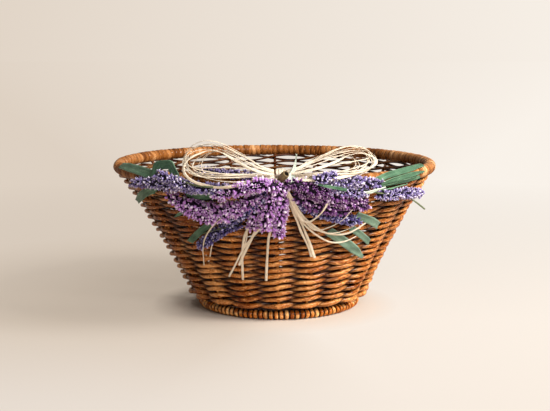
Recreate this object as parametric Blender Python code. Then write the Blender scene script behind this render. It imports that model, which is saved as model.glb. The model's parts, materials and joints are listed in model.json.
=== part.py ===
"""Flower girl basket: a paired wicker bowl with a spray of lavender and a raffia bow on its rim."""

import math

import bmesh
import bpy
import numpy as np
from mathutils import Vector

# Driving dimensions, in metres
CLEARANCE = 0.0003            # gap between pieces that touch
RIM_RADIUS = 0.1203           # basket axis to the middle of the rim roll
RIM_HEIGHT = 0.1100           # floor to the middle of the rim roll
RIM_ROLL = 0.0094             # thickness of the rim roll
RIM_LEAN = 0.0033             # how far the hand-made rim sits to the left of the foot
FOOT_RADIUS = 0.0592          # basket axis to the middle of the foot roll
FOOT_ROLL = 0.0092            # thickness of the foot roll
FOOT_FLAT = 0.0005            # depth of the flat that the foot stands on
WALL_SET_OUT = 0.0051         # how far the wall starts outside the middle of the foot roll
STAKE = 0.0024                # thickness of a stake
WEAVER = 0.0027               # thickness of a weaving rod in the wall
BASE_WEAVER = 0.0020          # thickness of the weaving rod in the base
BASE_ROW_GAP = 0.0012         # open space between two turns of the base weaver
STAKE_BEND = 0.0026           # length on each side of the corner taken by a stake's bend
FAN_RADIUS = 0.0240           # where the fanned base rods start to run straight out
CROSS_HOLD = 0.0080           # how far the base rods run side by side from the middle
BASE_WEAVE_START = 0.0320     # radius at which the base weaver starts
SPRIG_STEM = 0.0016           # thickness of a lavender stem
LEAF_THICKNESS = 0.0008       # thickness of a strap leaf
RAFFIA = 0.0024               # thickness of a raffia strand
BINDING = 0.0050              # thickness of the raffia bound over the rim
KNOT = 0.0090                 # thickness of the knot on the binding

# Proportions and counts
FLARE_SHARE = 0.16            # share of the wall's spread that comes from its outward curve
FLARE_POWER = 2.4             # how late the wall curves outwards
STAKES_RIGHT = 9              # stakes between the front one and the back one, on the right
STAKES_LEFT = 8               # the same on the left, one fewer, so that the pairs close
RIM_WRAPS = 57                # wraps shown along the rim roll
FOOT_BEADS = 48               # beads along the foot roll
GROOVE = 0.90                 # thickness of a roll in its grooves, as a share of its full thickness
HEAD_TIP = 0.35               # thickness of a lavender head at its tip, as a share of its fullest whorl
WHORL_LEAST = 0.75            # thickness of its first and last whorls, as the same share
WHORL_GAP = 0.62              # thickness between two whorls, as the same share
WALL_SEAT = 0.40              # lift of a lavender head off the wall, as a share of its thickness
HOLLOW_SEAT = 0.24            # the same in the hollow of the wall between two stakes
RIM_SEAT = 0.48               # lift of a lavender head off the rim roll, as a share of its thickness
LEAF_TIP = 0.3                # width of a leaf at its tip, as a share of its full width
LEAF_STEPS = 4                # straight pieces in a leaf
BINDING_STEPS = 12            # straight pieces in the binding
BINDING_HANG = 35.0           # degrees that the binding reaches below the rim's middle outside
BINDING_TUCK = 12.0           # degrees that it reaches below the rim's middle inside
KNOT_SHARE = 0.36             # where the knot sits along the binding, from its outer end
KNOT_SPREAD = 0.12            # how much of the binding the knot takes up
KNOT_ANGLE = 2.0              # degrees from the front stake to the knot
MM = 0.001                    # the spray's routes are written in millimetres
WALL_STEPS = 4                # straight pieces in a stake from the bend to the rim

# Colours and finish of each material
WICKER = ("wicker", (0.33, 0.15, 0.06), 0.55)
PURPLE_FLOWER = ("purple_lavender", (0.27, 0.10, 0.34), 0.80)
BLUE_FLOWER = ("blue_lavender", (0.17, 0.15, 0.45), 0.80)
LEAF_GREEN = ("leaf_green", (0.12, 0.25, 0.16), 0.60)
STRAW = ("raffia", (0.72, 0.58, 0.34), 0.65)

# Sizes that follow from the driving dimensions
SIX_SIDED = math.cos(math.pi / 6)
FOOT_MIDDLE = SIX_SIDED * FOOT_ROLL / 2 - FOOT_FLAT
FOOT_TOP = FOOT_MIDDLE + SIX_SIDED * FOOT_ROLL / 2
BASE_HEIGHT = FOOT_TOP + CLEARANCE + STAKE / 2
WALL_BOTTOM_RADIUS = FOOT_RADIUS + WALL_SET_OUT
STAND_OFF = (STAKE + WEAVER) / 2 + CLEARANCE
PAIR_STEP = (WEAVER + CLEARANCE) / 2
WALL_SKIN = STAND_OFF + WEAVER / 2
BASE_STAND_OFF = (STAKE + BASE_WEAVER) / 2 + 1.5 * CLEARANCE
ROD_PITCH = STAKE + CLEARANCE
BASE_WEAVE_END = FOOT_RADIUS - FOOT_ROLL / 2 - BASE_WEAVER / 2 - CLEARANCE


def clear_scene():
    for item in list(bpy.data.objects):
        bpy.data.objects.remove(item, do_unlink=True)


def material(finish):
    name, colour, roughness = finish
    found = bpy.data.materials.get(name)
    if found:
        return found
    made = bpy.data.materials.new(name)
    made.use_nodes = True
    shader = made.node_tree.nodes["Principled BSDF"]
    shader.inputs["Base Color"].default_value = (*colour, 1.0)
    shader.inputs["Roughness"].default_value = roughness
    shader.inputs["Metallic"].default_value = 0.0
    return made


# The wall's shape

def wall_radius(height):
    """Radius of the stakes' middle line at a height above the floor."""
    rise = (height - BASE_HEIGHT) / (RIM_HEIGHT - BASE_HEIGHT)
    spread = (1 - FLARE_SHARE) * rise + FLARE_SHARE * max(rise, 0.0) ** FLARE_POWER
    return WALL_BOTTOM_RADIUS + (RIM_RADIUS - WALL_BOTTOM_RADIUS) * spread


def wall_slope(height):
    """Direction up the wall at a height, as outward and upward shares."""
    step = (RIM_HEIGHT - BASE_HEIGHT) / 1000
    return Vector((wall_radius(height + step) - wall_radius(height), step)).normalized()


WALL_HEIGHTS = np.linspace(BASE_HEIGHT, RIM_HEIGHT, 401)
WALL_RADII = np.array([wall_radius(height) for height in WALL_HEIGHTS])
WALL_RUN = np.concatenate(([0.0], np.cumsum(np.hypot(np.diff(WALL_RADII), np.diff(WALL_HEIGHTS)))))
WALL_LENGTH = float(WALL_RUN[-1])


def lean(height):
    """Sideways shift of the wall at a height, because the rim leans to the left."""
    return -RIM_LEAN * max(height - BASE_HEIGHT, 0.0) / (RIM_HEIGHT - BASE_HEIGHT)


def place(angle, radius, height):
    """Point at an angle in degrees from the front, positive towards the right."""
    turn = math.radians(angle)
    return Vector((radius * math.sin(turn) + lean(height), -radius * math.cos(turn), height))


def on_wall(angle, run, out=0.0, up=0.0):
    """Point on the wall, by the length of wall below it, stood out from it or moved up along it."""
    height = float(np.interp(run, WALL_RUN, WALL_HEIGHTS))
    radius = float(np.interp(run, WALL_RUN, WALL_RADII))
    slope = wall_slope(height)
    radius += out * slope.y + up * slope.x
    height += up * slope.y - out * slope.x
    return place(angle, radius, height)


def outside(angle, drop, lift):
    """Point outside the basket, by its drop below the middle of the rim and its lift off the surface."""
    height = RIM_HEIGHT - drop
    radius = RIM_RADIUS
    if drop > 0:
        radius = wall_radius(height) + (WALL_SKIN + lift) / wall_slope(height).y
    reach = RIM_ROLL / 2 + lift
    if abs(drop) < reach:
        radius = max(radius, RIM_RADIUS + math.sqrt(reach ** 2 - drop ** 2))
    return place(angle, radius, height)


def outward(point):
    """Direction away from the rim roll, or from the wall below it, at a point near it."""
    flat = Vector((point.x - lean(point.z), point.y, 0.0))
    drop = RIM_HEIGHT - point.z
    if drop < RIM_ROLL:
        away = flat * (1 - RIM_RADIUS / flat.length) - Vector((0.0, 0.0, drop))
        return away.normalized()
    slope = wall_slope(point.z)
    return flat.normalized() * slope.y - Vector((0.0, 0.0, slope.x))


def stake_angles():
    right = [180.0 * step / (STAKES_RIGHT + 1) for step in range(STAKES_RIGHT + 1)]
    left = [180.0 + 180.0 * step / (STAKES_LEFT + 1) for step in range(STAKES_LEFT + 1)]
    return right + left


def smooth(points, count):
    """Evenly spaced points along a smooth curve through the given ones."""
    knots = [points[0] * 2 - points[1], *points, points[-1] * 2 - points[-2]]
    dense = []
    for before, start, end, after in zip(knots, knots[1:], knots[2:], knots[3:]):
        for step in range(20):
            t = step / 20
            dense.append(0.5 * (2 * start + (end - before) * t
                                + (2 * before - 5 * start + 4 * end - after) * t ** 2
                                + (3 * start - before - 3 * end + after) * t ** 3))
    dense.append(points[-1])
    steps = [(second - first).length for first, second in zip(dense, dense[1:])]
    run = np.concatenate(([0.0], np.cumsum(steps)))
    wanted = np.linspace(0.0, run[-1], count)
    axes = [np.interp(wanted, run, [point[axis] for point in dense]) for axis in range(3)]
    return [Vector(values) for values in zip(*axes)]


# Makers of solids

def add(name, data, finish, root):
    made = bpy.data.objects.new(name, data)
    bpy.context.scene.collection.objects.link(made)
    made.parent = root
    data.materials.append(material(finish))
    return made


def rod(name, points, thickness, finish, root, closed=False, swell=None, roundness=0):
    """Rod along a path, with a swell for each point, the share of its full thickness there."""
    curve = bpy.data.curves.new(name, "CURVE")
    curve.dimensions = "3D"
    curve.bevel_depth = thickness / 2
    curve.bevel_resolution = roundness
    curve.use_fill_caps = not closed
    spline = curve.splines.new("POLY")
    spline.points.add(len(points) - 1)
    spline.use_cyclic_u = closed
    spline.use_smooth = True
    for index, (knot, point) in enumerate(zip(spline.points, points)):
        knot.co = (*point, 1.0)
        knot.radius = swell[index] if swell else 1.0
    return add(name, curve, finish, root)


def roll(name, radius, height, thickness, ridges, root):
    """Ring whose thickness rises and falls with each wrap or bead."""
    steps = 2 * ridges
    points = [place(360.0 * step / steps, radius, height) for step in range(steps)]
    swell = [1.0 if step % 2 else GROOVE for step in range(steps)]
    return rod(name, points, thickness, WICKER, root, closed=True, swell=swell, roundness=1)


def as_mesh(made):
    """The same solid as a mesh, so that it can be cut."""
    name = made.name
    root = made.parent
    data = bpy.data.meshes.new_from_object(made.evaluated_get(bpy.context.evaluated_depsgraph_get()))
    bpy.data.objects.remove(made, do_unlink=True)
    solid = bpy.data.objects.new(name, data)
    bpy.context.scene.collection.objects.link(solid)
    solid.parent = root
    return solid


# The woven bowl

def weave_rows(angles, root):
    """Rows of pairing: one rod goes round twice, outside and inside the stakes in turn."""
    first = STAKE_BEND + WEAVER / 2
    last = WALL_LENGTH - RIM_ROLL / 2 - CLEARANCE - PAIR_STEP - WEAVER / 2
    gaps = math.floor((last - first) / (2 * WEAVER + 2 * CLEARANCE))
    for row in range(gaps + 1):
        run = first + (last - first) * row / gaps
        points = []
        for turn in range(2):
            for index, angle in enumerate(angles):
                beyond = angles[index + 1] if index + 1 < len(angles) else 360.0
                side = 1 if (index + turn * len(angles)) % 2 == 0 else -1
                points.append(on_wall(angle, run, out=side * STAND_OFF))
                points.append(on_wall((angle + beyond) / 2, run, up=side * PAIR_STEP))
        rod(f"weave_row_{row + 1:02d}", points, WEAVER, WICKER, root, closed=True)


def stake_route(angle):
    """A rod from the fan of the base out to the wall and up to the rim."""
    points = [place(angle, FAN_RADIUS, BASE_HEIGHT)]
    points.append(place(angle, WALL_BOTTOM_RADIUS - STAKE_BEND, BASE_HEIGHT))
    top = WALL_LENGTH - RIM_ROLL / 2 - CLEARANCE
    for step in range(WALL_STEPS + 1):
        points.append(on_wall(angle, STAKE_BEND + (top - STAKE_BEND) * step / WALL_STEPS))
    return points


def base_rods(angles, root):
    """Long rods crossed in the base, whose ends turn up as stakes, and the one odd half rod."""
    back = STAKES_RIGHT + 1
    fan = (STAKES_RIGHT + STAKES_LEFT) // 6
    for step in range(-fan, fan + 1):
        offset = step * ROD_PITCH
        middle = [Vector((offset, -CROSS_HOLD, BASE_HEIGHT)), Vector((offset, CROSS_HOLD, BASE_HEIGHT))]
        route = stake_route(angles[step])[::-1] + middle + stake_route(angles[back - step])
        rod(f"base_rod_under_{step + fan + 1}", route, STAKE, WICKER, root)
    right = range(fan + 1, back - fan)
    left = range(len(angles) - fan - 1, back + fan, -1)
    height = BASE_HEIGHT + ROD_PITCH
    for number, (east, west) in enumerate(zip(right, left)):
        offset = (number - (len(left) - 1) / 2) * ROD_PITCH
        middle = [Vector((CROSS_HOLD, offset, height)), Vector((-CROSS_HOLD, offset, height))]
        route = stake_route(angles[east])[::-1] + middle + stake_route(angles[west])
        rod(f"base_rod_over_{number + 1}", route, STAKE, WICKER, root)
    rod("base_half_rod", stake_route(angles[right[-1]]), STAKE, WICKER, root)


def base_weaver(angles, root):
    """One rod spiralling out, over and under the fanned rods in turn."""
    turns = math.floor((BASE_WEAVE_END - BASE_WEAVE_START) / (BASE_WEAVER + BASE_ROW_GAP))
    points = []
    for turn in range(turns):
        for index, angle in enumerate(angles):
            side = 1 if (index + turn * len(angles)) % 2 == 0 else -1
            share = (turn + angle / 360.0) / turns
            radius = BASE_WEAVE_START + (BASE_WEAVE_END - BASE_WEAVE_START) * share
            points.append(place(angle, radius, BASE_HEIGHT + side * BASE_STAND_OFF))
    rod("base_weaver", points, BASE_WEAVER, WICKER, root)


def foot(root):
    """Beaded roll under the base, with its underside cut flat."""
    made = as_mesh(roll("foot_roll", FOOT_RADIUS, FOOT_MIDDLE, FOOT_ROLL, FOOT_BEADS, root))
    depth = FOOT_ROLL
    span = 4 * FOOT_RADIUS
    bm = bmesh.new()
    bmesh.ops.create_cube(bm, size=1.0)
    bmesh.ops.scale(bm, vec=(span, span, depth), verts=bm.verts)
    bmesh.ops.translate(bm, vec=(0.0, 0.0, -depth / 2), verts=bm.verts)
    data = bpy.data.meshes.new("floor_cutter")
    bm.to_mesh(data)
    bm.free()
    cutter = bpy.data.objects.new("floor_cutter", data)
    bpy.context.scene.collection.objects.link(cutter)
    cutter.parent = root
    cutter.hide_render = True
    cutter.display_type = "WIRE"
    cut = made.modifiers.new("flat underside", "BOOLEAN")
    cut.operation = "DIFFERENCE"
    cut.object = cutter


# The lavender spray

def lavender(name, finish, thickness, route, whorls, root, seat):
    """Sprig laid on the basket, from the tip of its ringed flower head to the end of its stem."""
    lying = seat * thickness
    head = [outside(angle, drop * MM, lying) for angle, drop in route[:-1]]
    head = smooth(head, 2 * whorls + 1)
    tail = outside(route[-1][0], route[-1][1] * MM, SPRIG_STEM / 2 + CLEARANCE)
    swell = [HEAD_TIP]
    for ring in range(whorls):
        fullness = math.sin(math.pi * (ring + 1) / whorls)
        swell += [WHORL_LEAST + (1 - WHORL_LEAST) * fullness, WHORL_GAP]
    swell[-1] = SPRIG_STEM / thickness
    swell.append(SPRIG_STEM / thickness)
    rod(name, head + [tail], thickness, finish, root, swell=swell, roundness=1)


def lavender_spray(root):
    """Sprigs by their angle from the front and their drop below the rim in millimetres."""
    lavender("lavender_1_blue", BLUE_FLOWER, 0.0085,
             [(-54, 6), (-45, 3.5), (-38, 3.5), (-30, 4), (-22, 4), (-15, 4), (-6, 5)], 8, root, RIM_SEAT)
    lavender("lavender_2_purple", PURPLE_FLOWER, 0.0110,
             [(-38, 13), (-31, 17), (-24, 20), (-17, 20), (-11, 17), (-6.5, 9)], 6, root, WALL_SEAT)
    lavender("lavender_3_blue", BLUE_FLOWER, 0.0085,
             [(-35, 51), (-28, 44), (-22, 37.5), (-17.5, 33.5), (-14.5, 31.5), (-12.5, 30)], 6, root, WALL_SEAT)
    lavender("lavender_4_blue", BLUE_FLOWER, 0.0070,
             [(-25, -7), (-19, -6.5), (-13, -6), (-6, -5)], 4, root, RIM_SEAT)
    lavender("lavender_5_purple", PURPLE_FLOWER, 0.0105,
             [(-9.5, 34), (-7, 24), (-4.5, 14), (-3, 8)], 5, root, HOLLOW_SEAT)
    lavender("lavender_6_purple", PURPLE_FLOWER, 0.0105,
             [(0.8, 39), (1.0, 28), (1.8, 16), (2.4, 9)], 5, root, WALL_SEAT)
    lavender("lavender_7_purple", PURPLE_FLOWER, 0.0110,
             [(33, 18), (26, 15.5), (19, 11.5), (13, 8), (7, 5)], 6, root, WALL_SEAT)
    lavender("lavender_8_blue", BLUE_FLOWER, 0.0090,
             [(32, 31), (24, 27), (17, 22.5), (11, 18), (7.5, 11)], 5, root, WALL_SEAT)
    lavender("lavender_9_blue", BLUE_FLOWER, 0.0080,
             [(35, 2.5), (28, 0.5), (21, -1.5), (15, -3), (8, -3)], 6, root, RIM_SEAT)
    lavender("lavender_10_blue", BLUE_FLOWER, 0.0080,
             [(66, 17), (58, 14.5), (50, 13), (41, 12), (36, 11)], 5, root, WALL_SEAT)


def leaf(name, width, route, root):
    """Strap leaf laid on the basket, from its pointed tip inwards, one thickness off the surface."""
    middle = [outside(angle, drop * MM, CLEARANCE + rise * MM) for angle, drop, rise in route]
    middle = smooth(middle, LEAF_STEPS + 1)
    bm = bmesh.new()
    rows = []
    for index, point in enumerate(middle):
        along = middle[min(index + 1, LEAF_STEPS)] - middle[max(index - 1, 0)]
        across = outward(point).cross(along).normalized()
        half = width / 2 * (LEAF_TIP if index == 0 else 1.0)
        rows.append([bm.verts.new(point - across * half), bm.verts.new(point + across * half)])
    for near, far in zip(rows, rows[1:]):
        bm.faces.new((near[0], far[0], far[1], near[1]))
    data = bpy.data.meshes.new(name)
    bm.to_mesh(data)
    bm.free()
    made = add(name, data, LEAF_GREEN, root)
    solid = made.modifiers.new("leaf thickness", "SOLIDIFY")
    solid.thickness = LEAF_THICKNESS
    solid.offset = 1.0


def leaves(root):
    """Leaves by angle, drop and rise off the surface, the last two in millimetres."""
    leaf("leaf_1", 0.0070, [(-66, -4, 0.5), (-57, -3.5, 0.5), (-47, -3.5, 0.5)], root)
    leaf("leaf_2", 0.0070,
         [(-43, -5.2, 0.3), (-39, -11, 1), (-36, -13, 2), (-32, -10, 1), (-29, -5.2, 0.3)], root)
    leaf("leaf_3", 0.0065, [(-70, 22, 0.5), (-57, 16, 0.5), (-45, 12, 0.5)], root)
    leaf("leaf_4", 0.0060, [(-41, 49, 0.2), (-33, 40, 0.2), (-26, 32, 0.2)], root)
    leaf("leaf_5", 0.0060, [(63, -5, 0.5), (51, -4.2, 0.5), (39, -2.2, 0.5)], root)
    leaf("leaf_6", 0.0040, [(57, 2, 0.5), (48, 3, 0.5), (40, 4.5, 0.5)], root)
    leaf("leaf_7", 0.0060, [(46, 37, 0.5), (40, 32, 0.5), (35, 27, 0.5)], root)
    leaf("leaf_8", 0.0070, [(45, 62, 0.5), (34, 51, 0.5), (24, 40, 0.5)], root)
    leaf("leaf_9", 0.0055, [(45, 50, 0.5), (39, 44, 0.5), (33, 39, 0.5)], root)


# The raffia bow

def binding(root):
    """Raffia laid over the rim roll at the front, thickened to a knot on its outer side."""
    reach = RIM_ROLL / 2 + CLEARANCE + BINDING / 2
    points = []
    swell = []
    for step in range(BINDING_STEPS + 1):
        share = step / BINDING_STEPS
        turn = math.radians(-BINDING_HANG + share * (180 + BINDING_HANG + BINDING_TUCK))
        bulge = math.exp(-((share - KNOT_SHARE) / KNOT_SPREAD) ** 2)
        grown = bulge * (KNOT - BINDING) / 2
        offset = reach + grown
        radius = RIM_RADIUS + offset * math.cos(turn)
        points.append(place(KNOT_ANGLE, radius, RIM_HEIGHT + offset * math.sin(turn)))
        swell.append(1.0 + 2 * grown / BINDING)
    rod("raffia_binding", points, BINDING, STRAW, root, swell=swell, roundness=1)


def strand(name, route, count, root):
    """Raffia strand through points given by angle, drop and lift, the last two in millimetres."""
    points = smooth([outside(angle, drop * MM, lift * MM) for angle, drop, lift in route], count)
    rod(name, points, RAFFIA, STRAW, root, roundness=2)


def raffia_bow(root):
    binding(root)
    strand("raffia_loop_left_1",
           [(0, -9.2, 6.3), (-4, -11.5, 8), (-8, -15.5, 9), (-12.5, -20.5, 9), (-17, -25, 9),
            (-22, -27.5, 9), (-27, -25.5, 9.5), (-30.3, -20, 10), (-30, -14.5, 10), (-25, -12, 10.5),
            (-16, -11, 10), (-7, -9.5, 7.5), (0, -6.7, 3.3)], 14, root)
    strand("raffia_loop_left_2",
           [(0, -6.6, 6.3), (-4, -8.5, 10), (-8, -12, 14), (-12, -15.5, 14), (-17, -18.5, 14),
            (-22, -19, 14), (-26, -15.5, 14), (-27, -9.5, 13), (-24.5, -3.5, 11.5), (-19, 0, 9.6),
            (-14, 0.5, 9.2), (-8, -1, 8.5), (0, -4.8, 3.3)], 14, root)
    strand("raffia_loop_right_1",
           [(4, -9.2, 6.3), (8, -11.2, 8), (12, -14.8, 9), (17, -19.2, 9), (22, -22.5, 9),
            (27, -24, 9), (31.5, -22.5, 9.5), (33.3, -18.3, 10), (30.5, -14.5, 11), (22, -11.8, 11),
            (11, -9.5, 8), (4, -6.7, 3.3)], 13, root)
    strand("raffia_loop_right_2",
           [(4, -6.6, 6.3), (8, -8.8, 10), (13, -12.2, 13), (18, -15.5, 14), (24, -18, 14),
            (29, -17.5, 14), (31.5, -13, 13.5), (29.5, -7.8, 12), (23, -4.2, 9.2), (14, -3.6, 9.2),
            (8, -3.5, 7), (4, -4.8, 3.3)], 13, root)
    strand("raffia_tail_1", [(-26.5, 50, 1.6), (-31, 56, 1.6), (-36, 62, 1.6), (-40, 68, 1.6)], 6, root)
    strand("raffia_tail_2", [(-9, 40, 1.0), (-14, 50, 1.2), (-19, 62, 1.6), (-25, 74, 1.6)], 7, root)
    strand("raffia_tail_3", [(-3, 41, 0.5), (-4, 52, 0.3), (-5, 64, 0.0), (-6, 76, -0.2)], 7, root)
    strand("raffia_tail_4", [(9, 28, 0.0), (11, 36, 0.1), (14, 47, 0.6), (17, 58, 1.5)], 6, root)
    strand("raffia_tail_5",
           [(14, 32, 1.2), (18, 38, 2.8), (24, 42, 3.6), (30, 41, 3.6), (36, 34, 3.4)], 8, root)


def stand_on_origin(root):
    """Move the whole basket so that the middle of its footprint is over the origin."""
    bpy.context.view_layer.update()
    graph = bpy.context.evaluated_depsgraph_get()
    reach = []
    for item in root.children:
        if not item.hide_render and not item.name.startswith(("raffia_loop", "raffia_tail")):
            seen = item.evaluated_get(graph)
            reach += [item.matrix_world @ vertex.co for vertex in seen.to_mesh().vertices]
    for axis in range(2):
        values = [point[axis] for point in reach]
        root.location[axis] = -(min(values) + max(values)) / 2


def build():
    clear_scene()
    root = bpy.data.objects.new("basket", None)
    bpy.context.scene.collection.objects.link(root)
    angles = stake_angles()
    weave_rows(angles, root)
    base_rods(angles, root)
    base_weaver(angles, root)
    foot(root)
    roll("rim_roll", RIM_RADIUS, RIM_HEIGHT, RIM_ROLL, RIM_WRAPS, root)
    lavender_spray(root)
    leaves(root)
    raffia_bow(root)
    stand_on_origin(root)


build()
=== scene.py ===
"""Looks of the flower girl basket: round willow, wound rim and foot, lavender, leaves and raffia."""

import functools
import json
import math
import random

import bpy
import numpy as np
from mathutils import Vector
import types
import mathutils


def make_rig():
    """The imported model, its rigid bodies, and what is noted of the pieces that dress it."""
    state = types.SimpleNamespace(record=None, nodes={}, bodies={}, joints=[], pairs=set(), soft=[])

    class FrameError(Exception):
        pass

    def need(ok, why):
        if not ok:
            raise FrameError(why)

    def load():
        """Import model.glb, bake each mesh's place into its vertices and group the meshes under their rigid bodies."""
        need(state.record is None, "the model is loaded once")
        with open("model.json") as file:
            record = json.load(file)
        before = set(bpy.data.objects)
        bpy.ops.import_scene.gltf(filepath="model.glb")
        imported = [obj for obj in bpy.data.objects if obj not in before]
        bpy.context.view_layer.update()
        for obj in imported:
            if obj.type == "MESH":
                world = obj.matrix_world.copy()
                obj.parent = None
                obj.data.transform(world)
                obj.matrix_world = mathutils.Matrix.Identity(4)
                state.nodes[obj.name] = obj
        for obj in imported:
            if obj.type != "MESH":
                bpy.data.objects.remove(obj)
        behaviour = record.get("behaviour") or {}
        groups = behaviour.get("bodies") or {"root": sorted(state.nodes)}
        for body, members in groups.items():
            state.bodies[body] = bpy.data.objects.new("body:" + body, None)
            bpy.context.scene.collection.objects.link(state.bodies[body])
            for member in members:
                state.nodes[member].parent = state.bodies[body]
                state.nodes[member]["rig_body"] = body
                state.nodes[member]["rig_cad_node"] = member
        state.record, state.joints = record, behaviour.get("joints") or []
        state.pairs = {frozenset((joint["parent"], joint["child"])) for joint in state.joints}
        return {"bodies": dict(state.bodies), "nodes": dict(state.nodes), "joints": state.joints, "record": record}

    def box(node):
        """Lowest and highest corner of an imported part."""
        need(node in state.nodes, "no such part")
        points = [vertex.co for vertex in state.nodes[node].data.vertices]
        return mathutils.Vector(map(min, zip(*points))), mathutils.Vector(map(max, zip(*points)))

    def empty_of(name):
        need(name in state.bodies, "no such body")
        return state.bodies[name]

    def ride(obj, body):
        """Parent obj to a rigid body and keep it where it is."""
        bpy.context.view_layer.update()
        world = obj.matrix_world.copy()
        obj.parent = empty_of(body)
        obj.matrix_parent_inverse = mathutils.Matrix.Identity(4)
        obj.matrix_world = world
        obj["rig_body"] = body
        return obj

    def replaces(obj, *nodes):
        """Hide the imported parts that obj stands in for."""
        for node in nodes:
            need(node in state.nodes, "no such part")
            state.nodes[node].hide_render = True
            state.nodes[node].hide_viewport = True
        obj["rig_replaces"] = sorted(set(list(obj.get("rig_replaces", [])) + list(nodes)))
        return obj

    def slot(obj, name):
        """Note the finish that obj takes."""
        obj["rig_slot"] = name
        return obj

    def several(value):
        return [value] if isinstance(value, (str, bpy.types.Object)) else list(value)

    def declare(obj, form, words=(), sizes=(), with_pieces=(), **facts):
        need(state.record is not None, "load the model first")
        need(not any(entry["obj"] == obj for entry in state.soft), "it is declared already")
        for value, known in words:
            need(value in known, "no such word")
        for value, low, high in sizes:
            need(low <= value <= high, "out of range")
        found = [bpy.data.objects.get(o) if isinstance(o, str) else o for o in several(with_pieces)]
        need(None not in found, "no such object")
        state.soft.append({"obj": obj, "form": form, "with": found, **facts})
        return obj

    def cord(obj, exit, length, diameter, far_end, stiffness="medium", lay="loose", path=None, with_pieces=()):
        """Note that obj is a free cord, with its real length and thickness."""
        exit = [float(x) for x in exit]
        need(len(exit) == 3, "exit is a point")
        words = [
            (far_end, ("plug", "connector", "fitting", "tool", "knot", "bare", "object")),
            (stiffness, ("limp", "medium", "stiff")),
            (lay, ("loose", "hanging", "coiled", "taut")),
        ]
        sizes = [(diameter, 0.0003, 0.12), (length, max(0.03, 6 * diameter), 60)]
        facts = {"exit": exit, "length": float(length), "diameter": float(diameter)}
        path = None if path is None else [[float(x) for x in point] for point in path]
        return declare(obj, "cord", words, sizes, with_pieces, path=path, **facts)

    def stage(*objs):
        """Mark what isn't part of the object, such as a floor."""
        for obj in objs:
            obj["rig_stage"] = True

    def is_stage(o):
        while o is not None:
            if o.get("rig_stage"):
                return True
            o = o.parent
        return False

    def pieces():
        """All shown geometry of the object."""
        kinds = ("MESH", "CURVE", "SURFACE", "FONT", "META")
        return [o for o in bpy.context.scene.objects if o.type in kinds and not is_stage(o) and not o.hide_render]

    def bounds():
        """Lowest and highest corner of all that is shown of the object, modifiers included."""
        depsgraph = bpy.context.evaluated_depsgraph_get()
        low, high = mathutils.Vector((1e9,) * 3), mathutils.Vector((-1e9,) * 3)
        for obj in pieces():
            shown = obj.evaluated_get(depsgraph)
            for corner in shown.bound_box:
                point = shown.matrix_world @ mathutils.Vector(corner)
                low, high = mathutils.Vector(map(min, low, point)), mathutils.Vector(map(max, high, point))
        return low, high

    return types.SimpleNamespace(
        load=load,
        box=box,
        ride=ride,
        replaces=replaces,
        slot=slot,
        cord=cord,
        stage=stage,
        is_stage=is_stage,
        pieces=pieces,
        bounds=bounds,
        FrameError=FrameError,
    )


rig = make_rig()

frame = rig.load()
CAD_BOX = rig.bounds()

# Sizes of the basket, with lengths in metres
MM = 0.001
CLEARANCE = 0.0003            # gap between pieces that lie against each other
RIM_ROLL = 0.0094             # thickness of the rim roll
FOOT_ROLL = 0.0092            # thickness of the foot roll
WALL_SET_OUT = 0.0051         # how far the wall starts outside the middle of the foot roll
STAKE = 0.0025                # thickness of a stake
SOLID_STAKE = 0.0024          # the same in the solids
WEAVER = 0.0028               # thickness of a weaving rod in the wall
SOLID_WEAVER = 0.0027         # the same in the solids
BASE_WEAVER = 0.0021          # thickness of the weaving rod in the base
STAND_OFF = 0.00285           # middle of a stake to the middle of a rod that passes it
STAKE_BEND = 0.0026           # length on each side of the corner taken by a stake's bend
FAN_RADIUS = 0.0240           # where the fanned base rods start to run straight out
CROSS_HOLD = 0.0080           # how far the base rods run side by side from the middle
FLARE_SHARE = 0.16            # share of the wall's spread that comes from its outward curve
FLARE_POWER = 2.4             # how late the wall curves outwards
STAKES_RIGHT = 9              # stakes between the front one and the back one, on the right
STAKES_LEFT = 8               # the same on the left
WEAVE_ROWS = 18               # rows that have solids
SEEN_ROWS = 20                # rows of the weave
INSIDE_SHADE = 0.26           # how much of the wicker's brightness is left on the inside, as painted shade

# Places that come from the frame
FOOT_LOW, FOOT_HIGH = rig.box("foot_roll")
RIM_LOW, RIM_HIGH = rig.box("rim_roll")
FOOT_MIDDLE = (FOOT_LOW + FOOT_HIGH) / 2
RIM_MIDDLE = (RIM_LOW + RIM_HIGH) / 2
RIM_HEIGHT = RIM_MIDDLE.z
RIM_RADIUS = (RIM_HIGH.x - RIM_LOW.x - RIM_ROLL) / 2
FOOT_RADIUS = (FOOT_HIGH.x - FOOT_LOW.x - FOOT_ROLL) / 2
RIM_LEAN = FOOT_MIDDLE.x - RIM_MIDDLE.x
BASE_HEIGHT = FOOT_HIGH.z + CLEARANCE + SOLID_STAKE / 2
WALL_RISE = RIM_HEIGHT - BASE_HEIGHT
WALL_BOTTOM_RADIUS = FOOT_RADIUS + WALL_SET_OUT
WALL_SKIN = STAND_OFF + SOLID_WEAVER / 2

STAKE_ANGLES = [180.0 * step / (STAKES_RIGHT + 1) for step in range(STAKES_RIGHT + 1)]
STAKE_ANGLES += [180.0 + 180.0 * step / (STAKES_LEFT + 1) for step in range(STAKES_LEFT + 1)]


# The wall's shape, as in the solids

def wall_radius(height):
    rise = (height - BASE_HEIGHT) / WALL_RISE
    spread = (1 - FLARE_SHARE) * rise + FLARE_SHARE * max(rise, 0.0) ** FLARE_POWER
    return WALL_BOTTOM_RADIUS + (RIM_RADIUS - WALL_BOTTOM_RADIUS) * spread


def wall_slope(height):
    small_step = WALL_RISE / 1000
    return Vector((wall_radius(height + small_step) - wall_radius(height), small_step)).normalized()


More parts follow.
